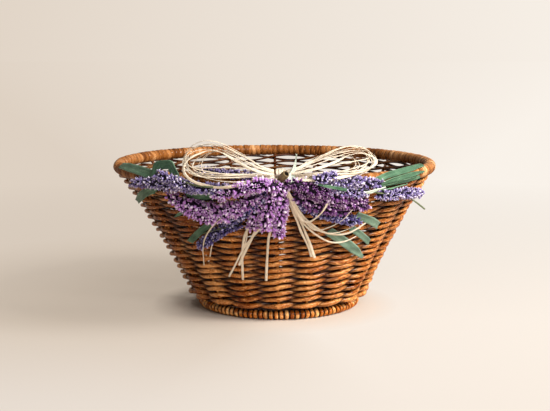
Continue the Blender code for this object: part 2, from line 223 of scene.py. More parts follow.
WALL_HEIGHTS = np.linspace(BASE_HEIGHT, RIM_HEIGHT, 401)
WALL_RADII = np.array([wall_radius(height) for height in WALL_HEIGHTS])
WALL_RUN = np.concatenate(([0.0], np.cumsum(np.hypot(np.diff(WALL_RADII), np.diff(WALL_HEIGHTS)))))
WALL_LENGTH = float(WALL_RUN[-1])


def lean(height):
    return -RIM_LEAN * max(height - BASE_HEIGHT, 0.0) / WALL_RISE


def place(angle, radius, height):
    """Point at an angle in degrees from the front, positive towards the right."""
    turn = math.radians(angle)
    x = FOOT_MIDDLE.x + radius * math.sin(turn) + lean(height)
    return Vector((x, FOOT_MIDDLE.y - radius * math.cos(turn), height))


def on_wall(angle, run, out=0.0, up=0.0):
    """Point on the wall, by the length of wall below it, stood out from it or moved up along it."""
    height = float(np.interp(run, WALL_RUN, WALL_HEIGHTS))
    radius = float(np.interp(run, WALL_RUN, WALL_RADII))
    slope = wall_slope(height)
    radius += out * slope.y + up * slope.x
    height += up * slope.y - out * slope.x
    return place(angle, radius, height)


def outside(angle, drop, lift):
    """Point outside the basket, by its drop below the rim's middle and its lift, in millimetres."""
    height = RIM_HEIGHT - drop * MM
    radius = RIM_RADIUS
    if drop > 0:
        radius = wall_radius(height) + (WALL_SKIN + lift * MM) / wall_slope(height).y
    reach = RIM_ROLL / 2 + lift * MM
    if abs(drop * MM) < reach:
        radius = max(radius, RIM_RADIUS + math.sqrt(reach ** 2 - (drop * MM) ** 2))
    return place(angle, radius, height)


def standing(angle, drop, out):
    """Point that stands free of the rim, by its drop and how far it is outside the rim's middle."""
    return place(angle, RIM_RADIUS + out * MM, RIM_HEIGHT - drop * MM)


def outward(point):
    """Direction away from the rim roll, or from the wall below it, at a point near it."""
    flat = Vector((point.x - FOOT_MIDDLE.x - lean(point.z), point.y - FOOT_MIDDLE.y, 0.0))
    drop = RIM_HEIGHT - point.z
    if drop < RIM_ROLL:
        away = flat * (1 - RIM_RADIUS / flat.length) - Vector((0.0, 0.0, drop))
        return away.normalized()
    slope = wall_slope(point.z)
    return flat.normalized() * slope.y - Vector((0.0, 0.0, slope.x))


def smooth(points, count):
    """Evenly spaced points along a smooth curve through the given ones."""
    fine = 20
    knots = [points[0] * 2 - points[1], *points, points[-1] * 2 - points[-2]]
    dense = []
    for before, start, end, after in zip(knots, knots[1:], knots[2:], knots[3:]):
        for step in range(fine):
            t = step / fine
            dense.append(0.5 * (2 * start + (end - before) * t
                                + (2 * before - 5 * start + 4 * end - after) * t ** 2
                                + (3 * start - before - 3 * end + after) * t ** 3))
    dense.append(points[-1])
    steps = [(second - first).length for first, second in zip(dense, dense[1:])]
    run = np.concatenate(([0.0], np.cumsum(steps)))
    wanted = np.linspace(0.0, run[-1], count)
    axes = [np.interp(wanted, run, [point[axis] for point in dense]) for axis in range(3)]
    return [Vector(values) for values in zip(*axes)]


def past(value, start, length):
    """How far a value is past a start, as a share of a length, from 0 to 1."""
    return min(max((value - start) / length, 0.0), 1.0)


def eased(values, low, high):
    """Soft rise from 0 at the low value to 1 at the high one."""
    share = np.clip((values - low) / (high - low), 0.0, 1.0)
    return share * share * (3 - 2 * share)


def wander(seed, size, waves):
    """A small offset that drifts as an angle goes round and meets itself again."""
    chance = random.Random(seed)
    phases = [(wave, chance.uniform(0, 2 * math.pi)) for wave in waves]
    return lambda angle: size * sum(math.sin(wave * math.radians(angle) + phase)
                                    for wave, phase in phases) / len(phases)


# Node building

class Nodes:
    """Adds nodes to a tree, with each input either wired to a socket or set to a value."""

    def __init__(self, tree):
        self.tree = tree

    def wire(self, socket, value):
        if isinstance(value, bpy.types.NodeSocket):
            self.tree.links.new(value, socket)
        else:
            socket.default_value = value

    def add(self, kind, wires=None, **settings):
        """New node's outputs."""
        made = self.tree.nodes.new(kind)
        for name, value in settings.items():
            setattr(made, name, value)
        for name, value in (wires or {}).items():
            self.wire(made.inputs[name], value)
        return made.outputs

    def math(self, operation, first, second=0.0):
        return self.add("ShaderNodeMath", {0: first, 1: second}, operation=operation)[0]

    def plus(self, first, second):
        return self.math("ADD", first, second)

    def less(self, first, second):
        return self.math("SUBTRACT", first, second)

    def times(self, first, second):
        return self.math("MULTIPLY", first, second)

    def weighed(self, *shares):
        """Sum of values, each times its weight."""
        return functools.reduce(self.plus, [self.times(value, weight) for value, weight in shares])

    def xyz(self, x, y, z=0.0):
        return self.add("ShaderNodeCombineXYZ", {"X": x, "Y": y, "Z": z})[0]

    def axes(self, vector):
        return self.add("ShaderNodeSeparateXYZ", {0: vector})

    def vector_math(self, operation, vector, output="Vector", **wires):
        return self.add("ShaderNodeVectorMath", {0: vector, **wires}, operation=operation)[output]

    def to_range(self, value, low, high, start=0.0, end=1.0):
        wires = {"Value": value, "From Min": start, "From Max": end, "To Min": low, "To Max": high}
        return self.add("ShaderNodeMapRange", wires)[0]

    def attribute(self, name, output="Fac"):
        return self.add("ShaderNodeAttribute", attribute_name=name)[output]

    def spot(self, kind="Object"):
        return self.add("ShaderNodeTexCoord")[kind]

    def noise(self, vector, scale, detail, rough=0.55):
        wires = {"Vector": vector, "Scale": scale, "Detail": detail, "Roughness": rough}
        return self.add("ShaderNodeTexNoise", wires)[0]

    def grain(self, along_scale, across_scale, detail):
        """Noise on a rod or strip, stretched so that it runs along it, apart for each tone."""
        across = self.axes(self.attribute("across", "Vector"))
        shift = self.times(self.attribute("tone"), 37.0)
        x = self.plus(self.times(self.attribute("along"), along_scale), shift)
        y = self.times(across[0], across_scale)
        z = self.times(across[1], across_scale)
        return self.noise(self.xyz(x, y, z), 1.0, detail)

    def ramp(self, value, stops):
        """Colour ramp through stops given as a place and a colour."""
        made = self.tree.nodes.new("ShaderNodeValToRGB")
        self.wire(made.inputs["Fac"], value)
        band = made.color_ramp
        while len(band.elements) < len(stops):
            band.elements.new(1.0)
        for element, (spot, colour) in zip(band.elements, stops):
            element.position = spot
            element.color = (*colour, 1.0)
        return made.outputs["Color"]

    def mixed(self, share, first, second):
        """Two colours mixed, each a socket or a plain colour."""
        plain = [(*colour, 1.0) if isinstance(colour, tuple) else colour for colour in (first, second)]
        wires = {0: share, 6: plain[0], 7: plain[1]}
        return self.add("ShaderNodeMix", wires, data_type="RGBA", blend_type="MIX")[2]

    def seen_rays(self):
        """1 for rays that show the backdrop: straight to the eye, off a gloss or through something clear."""
        path = self.add("ShaderNodeLightPath")
        seen = self.math("MAXIMUM", path["Is Camera Ray"], path["Is Transmission Ray"])
        return self.math("MAXIMUM", seen, path["Is Glossy Ray"])


class Growth(Nodes):
    """Geometry tree with named inputs for its sizes, counts, objects, seed and material."""

    def __init__(self, name, sizes, counts=(), objects=()):
        super().__init__(bpy.data.node_groups.new(name, "GeometryNodeTree"))
        face = self.tree.interface
        kinds = {"Geometry": ("Geometry",), "Float": sizes, "Int": (*counts, "Seed"), "Object": objects,
                 "Material": ("Material",)}
        for kind, names in kinds.items():
            for socket in names:
                face.new_socket(socket, in_out="INPUT", socket_type="NodeSocket" + kind)
        face.new_socket("Geometry", in_out="OUTPUT", socket_type="NodeSocketGeometry")
        self.given = self.tree.nodes.new("NodeGroupInput").outputs

    def path(self):
        return self.add("GeometryNodeMeshToCurve", {"Mesh": self.given["Geometry"]})[0]

    def along(self, output="Length"):
        return self.add("GeometryNodeSplineParameter")[output]

    def named(self, name, kind):
        return self.add("GeometryNodeInputNamedAttribute", {"Name": name}, data_type=kind)[0]

    def circle(self, sides, radius):
        return self.add("GeometryNodeCurvePrimitiveCircle", {"Resolution": sides, "Radius": radius})[0]

    def moved(self, geometry, **wires):
        return self.add("GeometryNodeTransform", {"Geometry": geometry, **wires})[0]

    def facing(self, curve, mode="Z_UP", **wires):
        return self.add("GeometryNodeSetCurveNormal", {"Curve": curve, **wires}, mode=mode)[0]

    def strip(self, thickness, width):
        """Flat section with rounded edges."""
        return self.moved(self.circle(8, 0.5), Scale=self.xyz(thickness, width))

    def store(self, geometry, name, value, kind="FLOAT", domain="POINT"):
        wires = {"Geometry": geometry, "Name": name, "Value": value}
        return self.add("GeometryNodeStoreNamedAttribute", wires, data_type=kind, domain=domain)[0]

    def chance(self, low, high, shift):
        """Random values from the seed moved on by a shift."""
        wires = {2: low, 3: high, "Seed": self.plus(self.given["Seed"], shift)}
        return self.add("FunctionNodeRandomValue", wires, data_type="FLOAT")[1]

    def chance_turn(self, low, high, shift):
        wires = {0: low, 1: high, "Seed": self.plus(self.given["Seed"], shift)}
        turn = self.add("FunctionNodeRandomValue", wires, data_type="FLOAT_VECTOR")[0]
        return self.add("FunctionNodeEulerToRotation", {"Euler": turn})[0]

    def turned(self, rotation, turn):
        wires = {"Rotation": rotation, "Rotate By": turn}
        return self.add("FunctionNodeRotateRotation", wires, rotation_space="LOCAL")[0]

    def toned(self, geometry, shift, domain="POINT"):
        """Geometry with a random tone for each point or copy."""
        return self.store(geometry, "tone", self.chance(0.0, 1.0, shift), domain=domain)

    def drift(self, spot, scale):
        """Slow change along a path, from about -0.5 to 0.5."""
        wires = {"W": spot, "Scale": scale, "Detail": 1.0}
        return self.less(self.add("ShaderNodeTexNoise", wires, noise_dimensions="1D")[0], 0.5)

    def swept(self, path, profile, scale=1.0, caps=False):
        """Profile carried along a path, keeping the length along it and the place across it."""
        path = self.store(path, "along", self.along())
        spot = self.add("GeometryNodeInputPosition")[0]
        profile = self.store(profile, "across", spot, kind="FLOAT_VECTOR")
        wires = {"Curve": path, "Profile Curve": profile, "Scale": scale, "Fill Caps": caps}
        return self.add("GeometryNodeCurveToMesh", wires)[0]

    def joined(self, *parts):
        made = self.tree.nodes.new("GeometryNodeJoinGeometry")
        for part in parts:
            self.tree.links.new(part, made.inputs[0])
        return made.outputs[0]

    def finished(self, geometry):
        """The tree, closed off with its geometry made real, smooth and of the given material."""
        whole = self.add("GeometryNodeRealizeInstances", {"Geometry": geometry})[0]
        whole = self.add("GeometryNodeSetShadeSmooth", {"Geometry": whole})[0]
        wires = {"Geometry": whole, "Material": self.given["Material"]}
        whole = self.add("GeometryNodeSetMaterial", wires)[0]
        self.tree.links.new(whole, self.tree.nodes.new("NodeGroupOutput").inputs[0])
        return self.tree


class Finish(Nodes):
    """Material of one finish, with the nodes that colour it."""

    def __init__(self, name):
        self.material = bpy.data.materials.new(name)
        self.material.use_nodes = True
        super().__init__(self.material.node_tree)
        self.shader = self.tree.nodes["Principled BSDF"]

    def dressed(self, sockets, relief, depth, strength=1.0):
        """The material, with the shader's sockets wired or set and the relief raised by a depth."""
        bump = self.add("ShaderNodeBump", {"Height": relief, "Distance": depth, "Strength": strength})[0]
        for name, value in {**sockets, "Normal": bump}.items():
            self.wire(self.shader.inputs[name], value)
        return self.material


# Trees that grow the rods, rolls, flower heads and strands

def willow_rod_tree():
    """Round rod along a path, as plump as each point says and a little uneven."""
    rod = Growth("willow rod", ("Thickness", "Unevenness"), ("Sides",))
    given = rod.given
    drift = rod.drift(rod.plus(rod.along(), given["Seed"]), 45.0)
    swell = rod.plus(rod.times(drift, given["Unevenness"]), 1.0)
    swell = rod.times(swell, rod.named("plump", "FLOAT"))
    ring = rod.circle(given["Sides"], rod.times(given["Thickness"], 0.5))
    return rod.finished(rod.toned(rod.swept(rod.path(), ring, swell, True), 0))


def wound_roll_tree():
    """Ring wound tightly with a flat strip, each turn a little different."""
    sizes = ("Ring Radius", "Roll Width", "Roll Height", "Strip Width", "Strip Thickness", "Slant", "Slack",
             "Centre X", "Centre Y", "Centre Z")
    roll = Growth("wound roll", sizes, ("Turns",))
    given = roll.given
    thick = given["Strip Thickness"]
    ring = roll.facing(roll.circle(128, given["Ring Radius"]))
    spots = roll.add("GeometryNodeCurveToPoints", {"Curve": ring, "Count": given["Turns"]}, mode="COUNT")
    shape = roll.xyz(roll.less(given["Roll Width"], thick), roll.less(given["Roll Height"], thick), 1.0)
    loop = roll.facing(roll.moved(roll.circle(22, 0.5), Scale=shape))
    turn = roll.swept(loop, roll.strip(thick, given["Strip Width"]))
    slack = roll.xyz(given["Slack"], given["Slack"], given["Slack"])
    loose = roll.chance_turn(roll.vector_math("SCALE", slack, Scale=-1.0), slack, 0)
    slant = {"Axis": (1.0, 0.0, 0.0), "Angle": given["Slant"]}
    slant = roll.add("FunctionNodeAxisAngleToRotation", slant)[0]
    pose = roll.turned(roll.turned(spots["Rotation"], slant), loose)
    fit = roll.chance(0.93, 1.0, 1)
    wires = {"Points": spots["Points"], "Instance": turn, "Rotation": pose, "Scale": roll.xyz(fit, fit, 1.0)}
    turns = roll.toned(roll.add("GeometryNodeInstanceOnPoints", wires)[0], 2, "INSTANCE")
    core = roll.swept(ring, roll.circle(12, roll.times(given["Roll Height"], 0.40)))
    whole = roll.joined(turns, roll.store(core, "tone", 0.0))
    centre = roll.xyz(given["Centre X"], given["Centre Y"], given["Centre Z"])
    return roll.finished(roll.moved(whole, Translation=centre))


def flower_head_tree():
    """Flower head along a path, set all over with small flowers that stand out from its middle."""
    sizes = ("Thickness", "Whorls", "Spacing", "Flower Size")
    head = Growth("flower head", sizes, (), ("Flower", "Bud"))
    given = head.given
    share = head.along("Factor")
    waves = head.times(head.times(share, given["Whorls"]), math.pi)
    bumps = head.math("ABSOLUTE", head.math("SINE", waves))
    lumpy = head.plus(head.times(bumps, 0.30), 0.70)
    rounded = head.math("SINE", head.times(share, math.pi))
    rounded = head.math("POWER", head.plus(rounded, 0.06), 0.32)
    ring = head.circle(8, head.times(given["Thickness"], 0.30))
    core = head.swept(head.path(), ring, head.times(lumpy, rounded), True)
    # The core takes the darkest colour: painted shade between the flowers
    core = head.store(head.store(core, "tone", 0.0), "petal", 0.0)
    wires = {"Mesh": core, "Distance Min": given["Spacing"], "Density Max": 4000000.0, "Seed": given["Seed"]}
    spots = head.add("GeometryNodeDistributePointsOnFaces", wires, distribute_method="POISSON")
    most = (0.7, 0.7, 3.1)
    tilt = head.chance_turn(tuple(-angle for angle in most), most, 1)
    size = head.chance(head.times(given["Flower Size"], 0.75), head.times(given["Flower Size"], 1.25), 2)
    shapes = [head.add("GeometryNodeObjectInfo", {"Object": given[kind], "As Instance": True})["Geometry"]
              for kind in ("Bud", "Flower")]
    which = {4: 0, 5: 1, "Seed": head.plus(given["Seed"], 3)}
    which = head.add("FunctionNodeRandomValue", which, data_type="INT")[2]
    wires = {"Points": spots["Points"], "Instance": head.joined(*shapes), "Pick Instance": True,
             "Instance Index": which, "Rotation": head.turned(spots["Rotation"], tilt), "Scale": size}
    blooms = head.toned(head.add("GeometryNodeInstanceOnPoints", wires)[0], 4, "INSTANCE")
    return head.finished(head.joined(core, blooms))


def raffia_tree():
    """Flat fibre along a path, facing the way its points say, turning and narrowing a little."""
    strand = Growth("raffia strand", ("Width", "Thickness", "Twist"))
    given = strand.given
    path = strand.facing(strand.path(), "FREE", Normal=strand.named("facing", "FLOAT_VECTOR"))
    drift = strand.drift(strand.plus(strand.along(), strand.times(given["Seed"], 7.3)), 32.0)
    wires = {"Curve": path, "Tilt": strand.times(drift, given["Twist"])}
    path = strand.add("GeometryNodeSetCurveTilt", wires)[0]
    swell = strand.less(1.0, strand.math("ABSOLUTE", strand.times(drift, 0.7)))
    strip = strand.strip(given["Thickness"], given["Width"])
    return strand.finished(strand.toned(strand.swept(path, strip, swell, True), 0))


ROD_TREE = willow_rod_tree()
ROLL_TREE = wound_roll_tree()
HEAD_TREE = flower_head_tree()
RAFFIA_TREE = raffia_tree()


# Making pieces

def keep(piece, replaced, slot):
    """Fix a finished piece to the basket and name the solids and the finish that it stands for."""
    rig.ride(piece, "root")
    if replaced:
        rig.replaces(piece, *replaced)
    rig.slot(piece, slot)
    return piece


def link(name, data):
    made = bpy.data.objects.new(name, data)
    bpy.context.scene.collection.objects.link(made)
    return made


def face_mesh(name, points, faces):
    data = bpy.data.meshes.new(name)
    data.from_pydata([tuple(point) for point in points], [], faces)
    return data


def path_mesh(name, paths, closed=False, plump=None, facings=None):
    """Paths as a mesh of edges, with the plumpness of each point and the way its flat side faces."""
    points = []
    edges = []
    for path in paths:
        first = len(points)
        points += path
        edges += [(first + step, first + step + 1) for step in range(len(path) - 1)]
        if closed:
            edges.append((first + len(path) - 1, first))
    data = bpy.data.meshes.new(name)
    data.from_pydata([tuple(point) for point in points], edges, [])
    fullness = data.attributes.new("plump", "FLOAT", "POINT")
    fullness.data.foreach_set("value", plump or [1.0] * len(points))
    if facings:
        facing = data.attributes.new("facing", "FLOAT_VECTOR", "POINT")
        facing.data.foreach_set("vector", [value for way in facings for value in way])
    return data


def tube_faces(rings, sides):
    """Faces of a tube with closed ends, whose points go ring by ring."""
    faces = []
    for ring in range(rings - 1):
        for side in range(sides):
            low = ring * sides + side
            beside = ring * sides + (side + 1) % sides
            faces.append((low, beside, beside + sides, low + sides))
    faces.append(tuple(range(sides - 1, -1, -1)))
    faces.append(tuple(range((rings - 1) * sides, rings * sides)))
    return faces


def lay_flat(data, spot):
    """UV map by a rule from a point's number to its place."""
    uv = data.uv_layers.new(name="UVMap")
    for loop in data.loops:
        uv.data[loop.index].uv = spot(loop.vertex_index)


def mark_open(data, openness):
    """Keep how open each point lies: 0 deep between the rods, in full painted shade, 1 on their outsides."""
    spots = np.empty(3 * len(data.vertices))
    data.vertices.foreach_get("co", spots)
    kept = data.attributes.new("open", "FLOAT", "POINT")
    kept.data.foreach_set("value", openness(*spots.reshape(-1, 3).T))


def wall_open(low, high):
    """Openness by how far points stand off the wall's middle, less on the inside for more painted shade."""
    def openness(x, y, z):
        slip = -RIM_LEAN * np.clip((z - BASE_HEIGHT) / WALL_RISE, 0.0, 1.0)
        reach = np.hypot(x - FOOT_MIDDLE.x - slip, y - FOOT_MIDDLE.y)
        stand = reach - np.interp(z, WALL_HEIGHTS, WALL_RADII)
        return eased(np.abs(stand), low * MM, high * MM) * np.where(stand < 0, INSIDE_SHADE, 1.0)
    return openness


# Openness of the base weave: painted shade all over it, deepest at the height of the base's middle.
def base_open(x, y, z):
    return INSIDE_SHADE * eased(np.abs(z - BASE_HEIGHT), 0.3 * MM, 2.6 * MM)


def ring_open(middle, radius, low, high):
    """Openness by how far points are from the middle of a roll, which sets the painted shade between its turns."""
    def openness(x, y, z):
        flat = np.hypot(x - middle.x, y - middle.y) - radius
        return eased(np.hypot(flat, z - middle.z), low, high)
    return openness


def grown(name, data, tree, inputs, replaced, slot):
    """Piece grown by a geometry tree from a path, turned into a plain mesh."""
    holder = link(name + "_path", data)
    growth = holder.modifiers.new("growth", "NODES")
    growth.node_group = tree
    for item in tree.interface.items_tree:
        if item.in_out == "INPUT" and item.name in inputs:
            growth[item.identifier] = inputs[item.name]
    graph = bpy.context.evaluated_depsgraph_get()
    whole = bpy.data.meshes.new_from_object(holder.evaluated_get(graph), depsgraph=graph)
    bpy.data.objects.remove(holder, do_unlink=True)
    whole.name = name
    return keep(link(name, whole), replaced, slot)


# Materials

# Near-black brown of the painted shade in the wicker's hollows and on its inside
PAINTED_SHADE_BROWN = (0.0200, 0.0030, 0.0003)
SPLIT_BROWN = (0.030, 0.008, 0.001)
RED_BROWNS = [(0.075, 0.0110, 0.0008), (0.310, 0.0640, 0.0045),
              (0.660, 0.2000, 0.0260), (0.970, 0.5200, 0.1900)]
TAN_BROWNS = [(0.110, 0.0300, 0.0055), (0.310, 0.1080, 0.0240),
              (0.520, 0.2250, 0.0750), (0.780, 0.4500, 0.2200)]
STRAWS = [(0.30, 0.165, 0.075), (0.76, 0.610, 0.430), (0.86, 0.77, 0.63)]
STEM_GREENS = [(0.045, 0.065, 0.030), (0.13, 0.16, 0.075), (0.30, 0.27, 0.13)]


def willow_material(name, tones, lift, change, variety, clouds, gloss):
    """Varnished brown willow: bark streaks and dark splits along the rod, painted shade in the hollows, a gloss."""
    bark = Finish(name)
    streaks = bark.grain(80.0, 1900.0, 4.0)
    drift = bark.grain(55.0, 200.0, 2.0)
    splits = bark.to_range(bark.grain(110.0, 1500.0, 2.0), 0.0, 1.0, 0.60, 0.68)
    stain = bark.noise(bark.spot(), 32.0, 2.0)
    shade = bark.weighed((streaks, 0.55), (drift, change), (bark.attribute("tone"), variety),
                         (stain, clouds))
    shade = bark.plus(shade, lift - change / 2 - clouds / 2)
    colour = bark.ramp(shade, list(zip((0.08, 0.25, 0.38, 0.52), tones)))
    colour = bark.mixed(bark.times(splits, 0.75), colour, SPLIT_BROWN)
    # Painted shade: dark brown where the rods lie deep between each other or on the inside
    colour = bark.mixed(bark.attribute("open"), PAINTED_SHADE_BROWN, colour)
    sockets = {"Base Color": colour, "Roughness": bark.to_range(streaks, 0.28, 0.52),
               "Specular IOR Level": 0.0, "Coat Weight": gloss, "Coat Roughness": 0.10}
    return bark.dressed(sockets, bark.less(streaks, splits), 0.00025, 0.9)


def lavender_material(name, deep, full, pale):
    """Dried flowers: painted shade in the hollows, painted highlights towards the petal tips, each flower its own
    tone.
    """
    petals = Finish(name)
    mottle = petals.noise(petals.spot(), 900.0, 2.0)
    level = petals.weighed((petals.attribute("petal"), 0.72), (petals.attribute("tone"), 0.26),
                           (mottle, 0.24))
    colour = petals.ramp(level, [(0.34, deep), (0.54, full), (0.70, full), (0.92, pale)])
    sockets = {"Base Color": colour, "Roughness": 0.62, "Specular IOR Level": 0.2}
    return petals.dressed(sockets, mottle, 0.0002)


def leaf_material(name, deep, full, pale):
    """Strap leaf: fine veins along it, slow clouds of tone and pale edges."""
    leaf = Finish(name)
    flat = leaf.axes(leaf.add("ShaderNodeUVMap", uv_map="UVMap")[0])
    veins = leaf.noise(leaf.xyz(leaf.times(flat[0], 26.0), leaf.times(flat[1], 2.0)), 1.0, 3.0)
    cloud = leaf.noise(leaf.spot(), 90.0, 3.0)
    level = leaf.weighed((veins, 0.55), (cloud, 0.5))
    colour = leaf.ramp(level, [(0.32, deep), (0.52, full), (0.74, pale)])
    side = leaf.math("ABSOLUTE", leaf.less(flat[0], 0.5))
    colour = leaf.mixed(leaf.to_range(side, 0.0, 0.6, 0.42, 0.50), colour, pale)
    sockets = {"Base Color": colour, "Roughness": 0.52, "Specular IOR Level": 0.25}
    return leaf.dressed(sockets, veins, 0.0003)


def raffia_material():
    """Dry raffia: pale straw with fine fibres along it."""
    straw = Finish("raffia straw")
    fibres = straw.grain(25.0, 4200.0, 4.0)
    drift = straw.grain(30.0, 90.0, 2.0)
    level = straw.weighed((fibres, 0.80), (drift, 0.40), (straw.attribute("tone"), 0.14))
    colour = straw.ramp(level, list(zip((0.44, 0.60, 0.76), STRAWS)))
    sockets = {"Base Color": colour, "Roughness": 0.5, "Sheen Weight": 0.1}
    return straw.dressed(sockets, fibres, 0.0002)


def stem_material():
    """Dry lavender stem: grey-green with straw patches."""
    stem = Finish("lavender stem")
    patches = stem.grain(90.0, 1800.0, 3.0)
    colour = stem.ramp(patches, list(zip((0.35, 0.55, 0.75), STEM_GREENS)))
    return stem.dressed({"Base Color": colour, "Roughness": 0.7}, patches, 0.0002)


WILLOW = willow_material("varnished willow", RED_BROWNS, -0.07, 1.6, 0.20, 0.6, 0.40)
CANE = willow_material("rim cane", TAN_BROWNS, -0.08, 0.6, 0.14, 0.6, 0.20)
BEAD = willow_material("foot cane", RED_BROWNS, 0.03, 0.8, 0.16, 0.3, 0.40)
PURPLE = lavender_material("purple lavender",
                           (0.010, 0.001, 0.014), (0.460, 0.205, 0.560), (0.97, 0.89, 1.00))
PLUM = lavender_material("plum lavender",
                         (0.007, 0.001, 0.010), (0.165, 0.048, 0.205), (0.76, 0.59, 0.79))
BLUE = lavender_material("blue lavender",
                         (0.007, 0.004, 0.016), (0.215, 0.165, 0.390), (0.92, 0.85, 0.97))
DEEP_BLUE = lavender_material("deep blue lavender",
                              (0.004, 0.002, 0.013), (0.090, 0.068, 0.235), (0.60, 0.56, 0.80))
LEAF = leaf_material("strap leaf", (0.018, 0.052, 0.026), (0.056, 0.138, 0.074), (0.18, 0.31, 0.19))
SAGE_LEAF = leaf_material("sage strap leaf",
                          (0.055, 0.105, 0.068), (0.138, 0.228, 0.160), (0.30, 0.42, 0.31))
DEEP_LEAF = leaf_material("deep strap leaf",
                          (0.018, 0.042, 0.024), (0.060, 0.135, 0.080), (0.21, 0.33, 0.22))
PALE_LEAF = leaf_material("pale blade", (0.36, 0.43, 0.34), (0.56, 0.63, 0.52), (0.74, 0.79, 0.68))
REED = leaf_material("cut reed", (0.050, 0.034, 0.015), (0.140, 0.092, 0.040), (0.25, 0.18, 0.085))
# The inside of the reed's cut end, near black: painted shade
REED_HOLLOW_SHADE = leaf_material("reed hollow",
                            (0.004, 0.003, 0.002), (0.010, 0.007, 0.004), (0.020, 0.014, 0.008))
RAFFIA = raffia_material()
STEM = stem_material()


# The woven bowl

WEAVE_STEPS = 10              # points from one stake to the next along a twined rod
ROW_BELOW_RIM = 0.0015        # open space between the last row and the rim roll
OPEN_FROM = 8                 # the row of the solids above which the weave opens at the back
OPEN_OVER = 6                 # rows over which it opens
OPEN_POWER = 1.5              # how soon the opening ends towards the front
FULL_BELOW = 9                # the row of the solids below which the rods are full at the back
FULL_OVER = 4                 # rows over which they fill out
FRONT_PLUMP = 1.03            # plumpness of the rods at the front
LOW_PLUMPER = 0.25            # how much plumper they are low at the back
HIGH_SLIMMER = 0.33           # how much slimmer they are high at the back
FIRST_PLUMPER = 0.22          # how much plumper the first row is
ROD_SWELL = 0.24              # how much a rod's own plumpness changes along it
BETWEEN_PLUMP = 0.96          # share of its plumpness that a rod keeps between two stakes
STAKE_PLUMPER = 0.16          # how much plumper it is where it bends round a stake
HUG = 0.46                    # share of its thickness by which a rod stands off a stake
PAIR_STEP = 0.00165           # how far each rod of a pair goes up or down where the two cross
TWIST_LEAD = 0.75             # how early a rod climbs as it comes round a stake, in radians of its wave
UNEVEN_STROKE = 0.35          # how much steeper every other stroke is, where the weave is tight
OPEN_STROKE = 0.45            # how much steeper the strokes are where the weave is open
MOST_STROKE = 1.35            # where a stroke stops climbing, in pair steps
OPEN_STROKE_LESS = 0.05       # how much sooner it stops where the weave is open
ROW_SWAY = 0.00090            # how far a row drifts up and down
ROD_SWAY = 0.00110            # how far each rod drifts by itself
FIRST_ROW_CALM = 0.60         # share of its ups and downs that the first row keeps
ROD_UNEVEN = 0.25             # how much the thickness of a rod drifts
ROD_SIDES = 10


def behind(angle):
    """0 at the front and 1 at the back."""
    return (1 - math.cos(math.radians(angle))) / 2


def airiness(angle, level):
    """How open the weave is: tight at the front and low down, with windows high up at the back."""
    return past(level, OPEN_FROM, OPEN_OVER) * behind(angle) ** OPEN_POWER


def plumpness(angle, level):
    """How plump the rods are: slim where the weave is open, full at the back of the lower rows."""
    low = past(FULL_BELOW - level, 0, FULL_OVER)
    most = FRONT_PLUMP + LOW_PLUMPER * low * behind(angle)
    return most - HIGH_SLIMMER * airiness(angle, level) + (FIRST_PLUMPER if level == 0 else 0.0)


def round_the_stakes(turns, steps):
    """Steps of a rod that goes round: the turn, the stakes passed in it, the wave's phase and the angle."""
    for turn in range(turns):
        for index, (angle, beyond) in enumerate(zip(STAKE_ANGLES, [*STAKE_ANGLES[1:], 360.0])):
            for step in range(steps):
                passed = index + step / steps
                phase = math.pi * (passed + turn * len(STAKE_ANGLES))
                yield turn, passed, phase, angle + (beyond - angle) * (step / steps)


def weave_row_path(row):
    """Two rods twined round the stakes: one rod that goes round twice, outside and inside in turn."""
    first = STAKE_BEND + SOLID_WEAVER / 2
    last = WALL_LENGTH - RIM_ROLL / 2 - CLEARANCE - ROW_BELOW_RIM - SOLID_WEAVER / 2
    run = first + (last - first) * row / (SEEN_ROWS - 1)
    level = row * (WEAVE_ROWS - 1) / (SEEN_ROWS - 1)
    sway = wander(40 + row, ROW_SWAY, (2, 3, 5, 7, 11))
    swells = [wander(80 + row + 200 * turn, ROD_SWELL, (1, 2, 3, 7, 12)) for turn in range(2)]
    lifts = [wander(120 + row + 200 * turn, ROD_SWAY, (4, 7, 11, 16, 19)) for turn in range(2)]
    points = []
    plump = []
    for turn, passed, phase, here in round_the_stakes(2, WEAVE_STEPS):
        slim = plumpness(here, level)
        airy = airiness(here, level)
        bend = BETWEEN_PLUMP + STAKE_PLUMPER * math.cos(phase) ** 2
        full = (1 + swells[turn](here)) * bend * slim
        out = (STAKE / 2 + HUG * WEAVER * full) * math.cos(phase)
        from_front = passed - (len(STAKE_ANGLES) if passed >= STAKES_RIGHT + 1 else 0)
        steep = 1 + UNEVEN_STROKE * (1 - airy) * math.cos(math.pi * from_front)
        twist = (steep + OPEN_STROKE * airy) * math.sin(phase + TWIST_LEAD * (1 - airy))
        most = MOST_STROKE - OPEN_STROKE_LESS * airy
        up = PAIR_STEP * max(-most, min(most, twist))
        up += (sway(here) + lifts[turn](here)) * min(1.0, slim)
        if row == 0:
            up *= FIRST_ROW_CALM
        points.append(on_wall(here, run, out, up))
        plump.append(full)
    return points, plump


def rod(name, path, thickness, uneven, sides, seed, replaced):
    inputs = {"Thickness": thickness, "Unevenness": uneven, "Sides": sides, "Seed": seed, "Material": WILLOW}
    return grown(name, path, ROD_TREE, inputs, replaced, "wicker").data


def stake_route(angle):
    """Route of a stake from the fan in the base, round its bend and up the wall into the rim roll."""
    before_bend = 1.6 * STAKE_BEND
    into_rim = 0.001
    wall_points = 6
    points = [place(angle, FAN_RADIUS, BASE_HEIGHT)]
    points.append(place(angle, (FAN_RADIUS + WALL_BOTTOM_RADIUS) / 2, BASE_HEIGHT))
    points.append(place(angle, WALL_BOTTOM_RADIUS - before_bend, BASE_HEIGHT))
    top = WALL_LENGTH - RIM_ROLL / 2 + into_rim
    for step in range(wall_points + 1):
        points.append(on_wall(angle, STAKE_BEND + (top - STAKE_BEND) * step / wall_points))
    return points


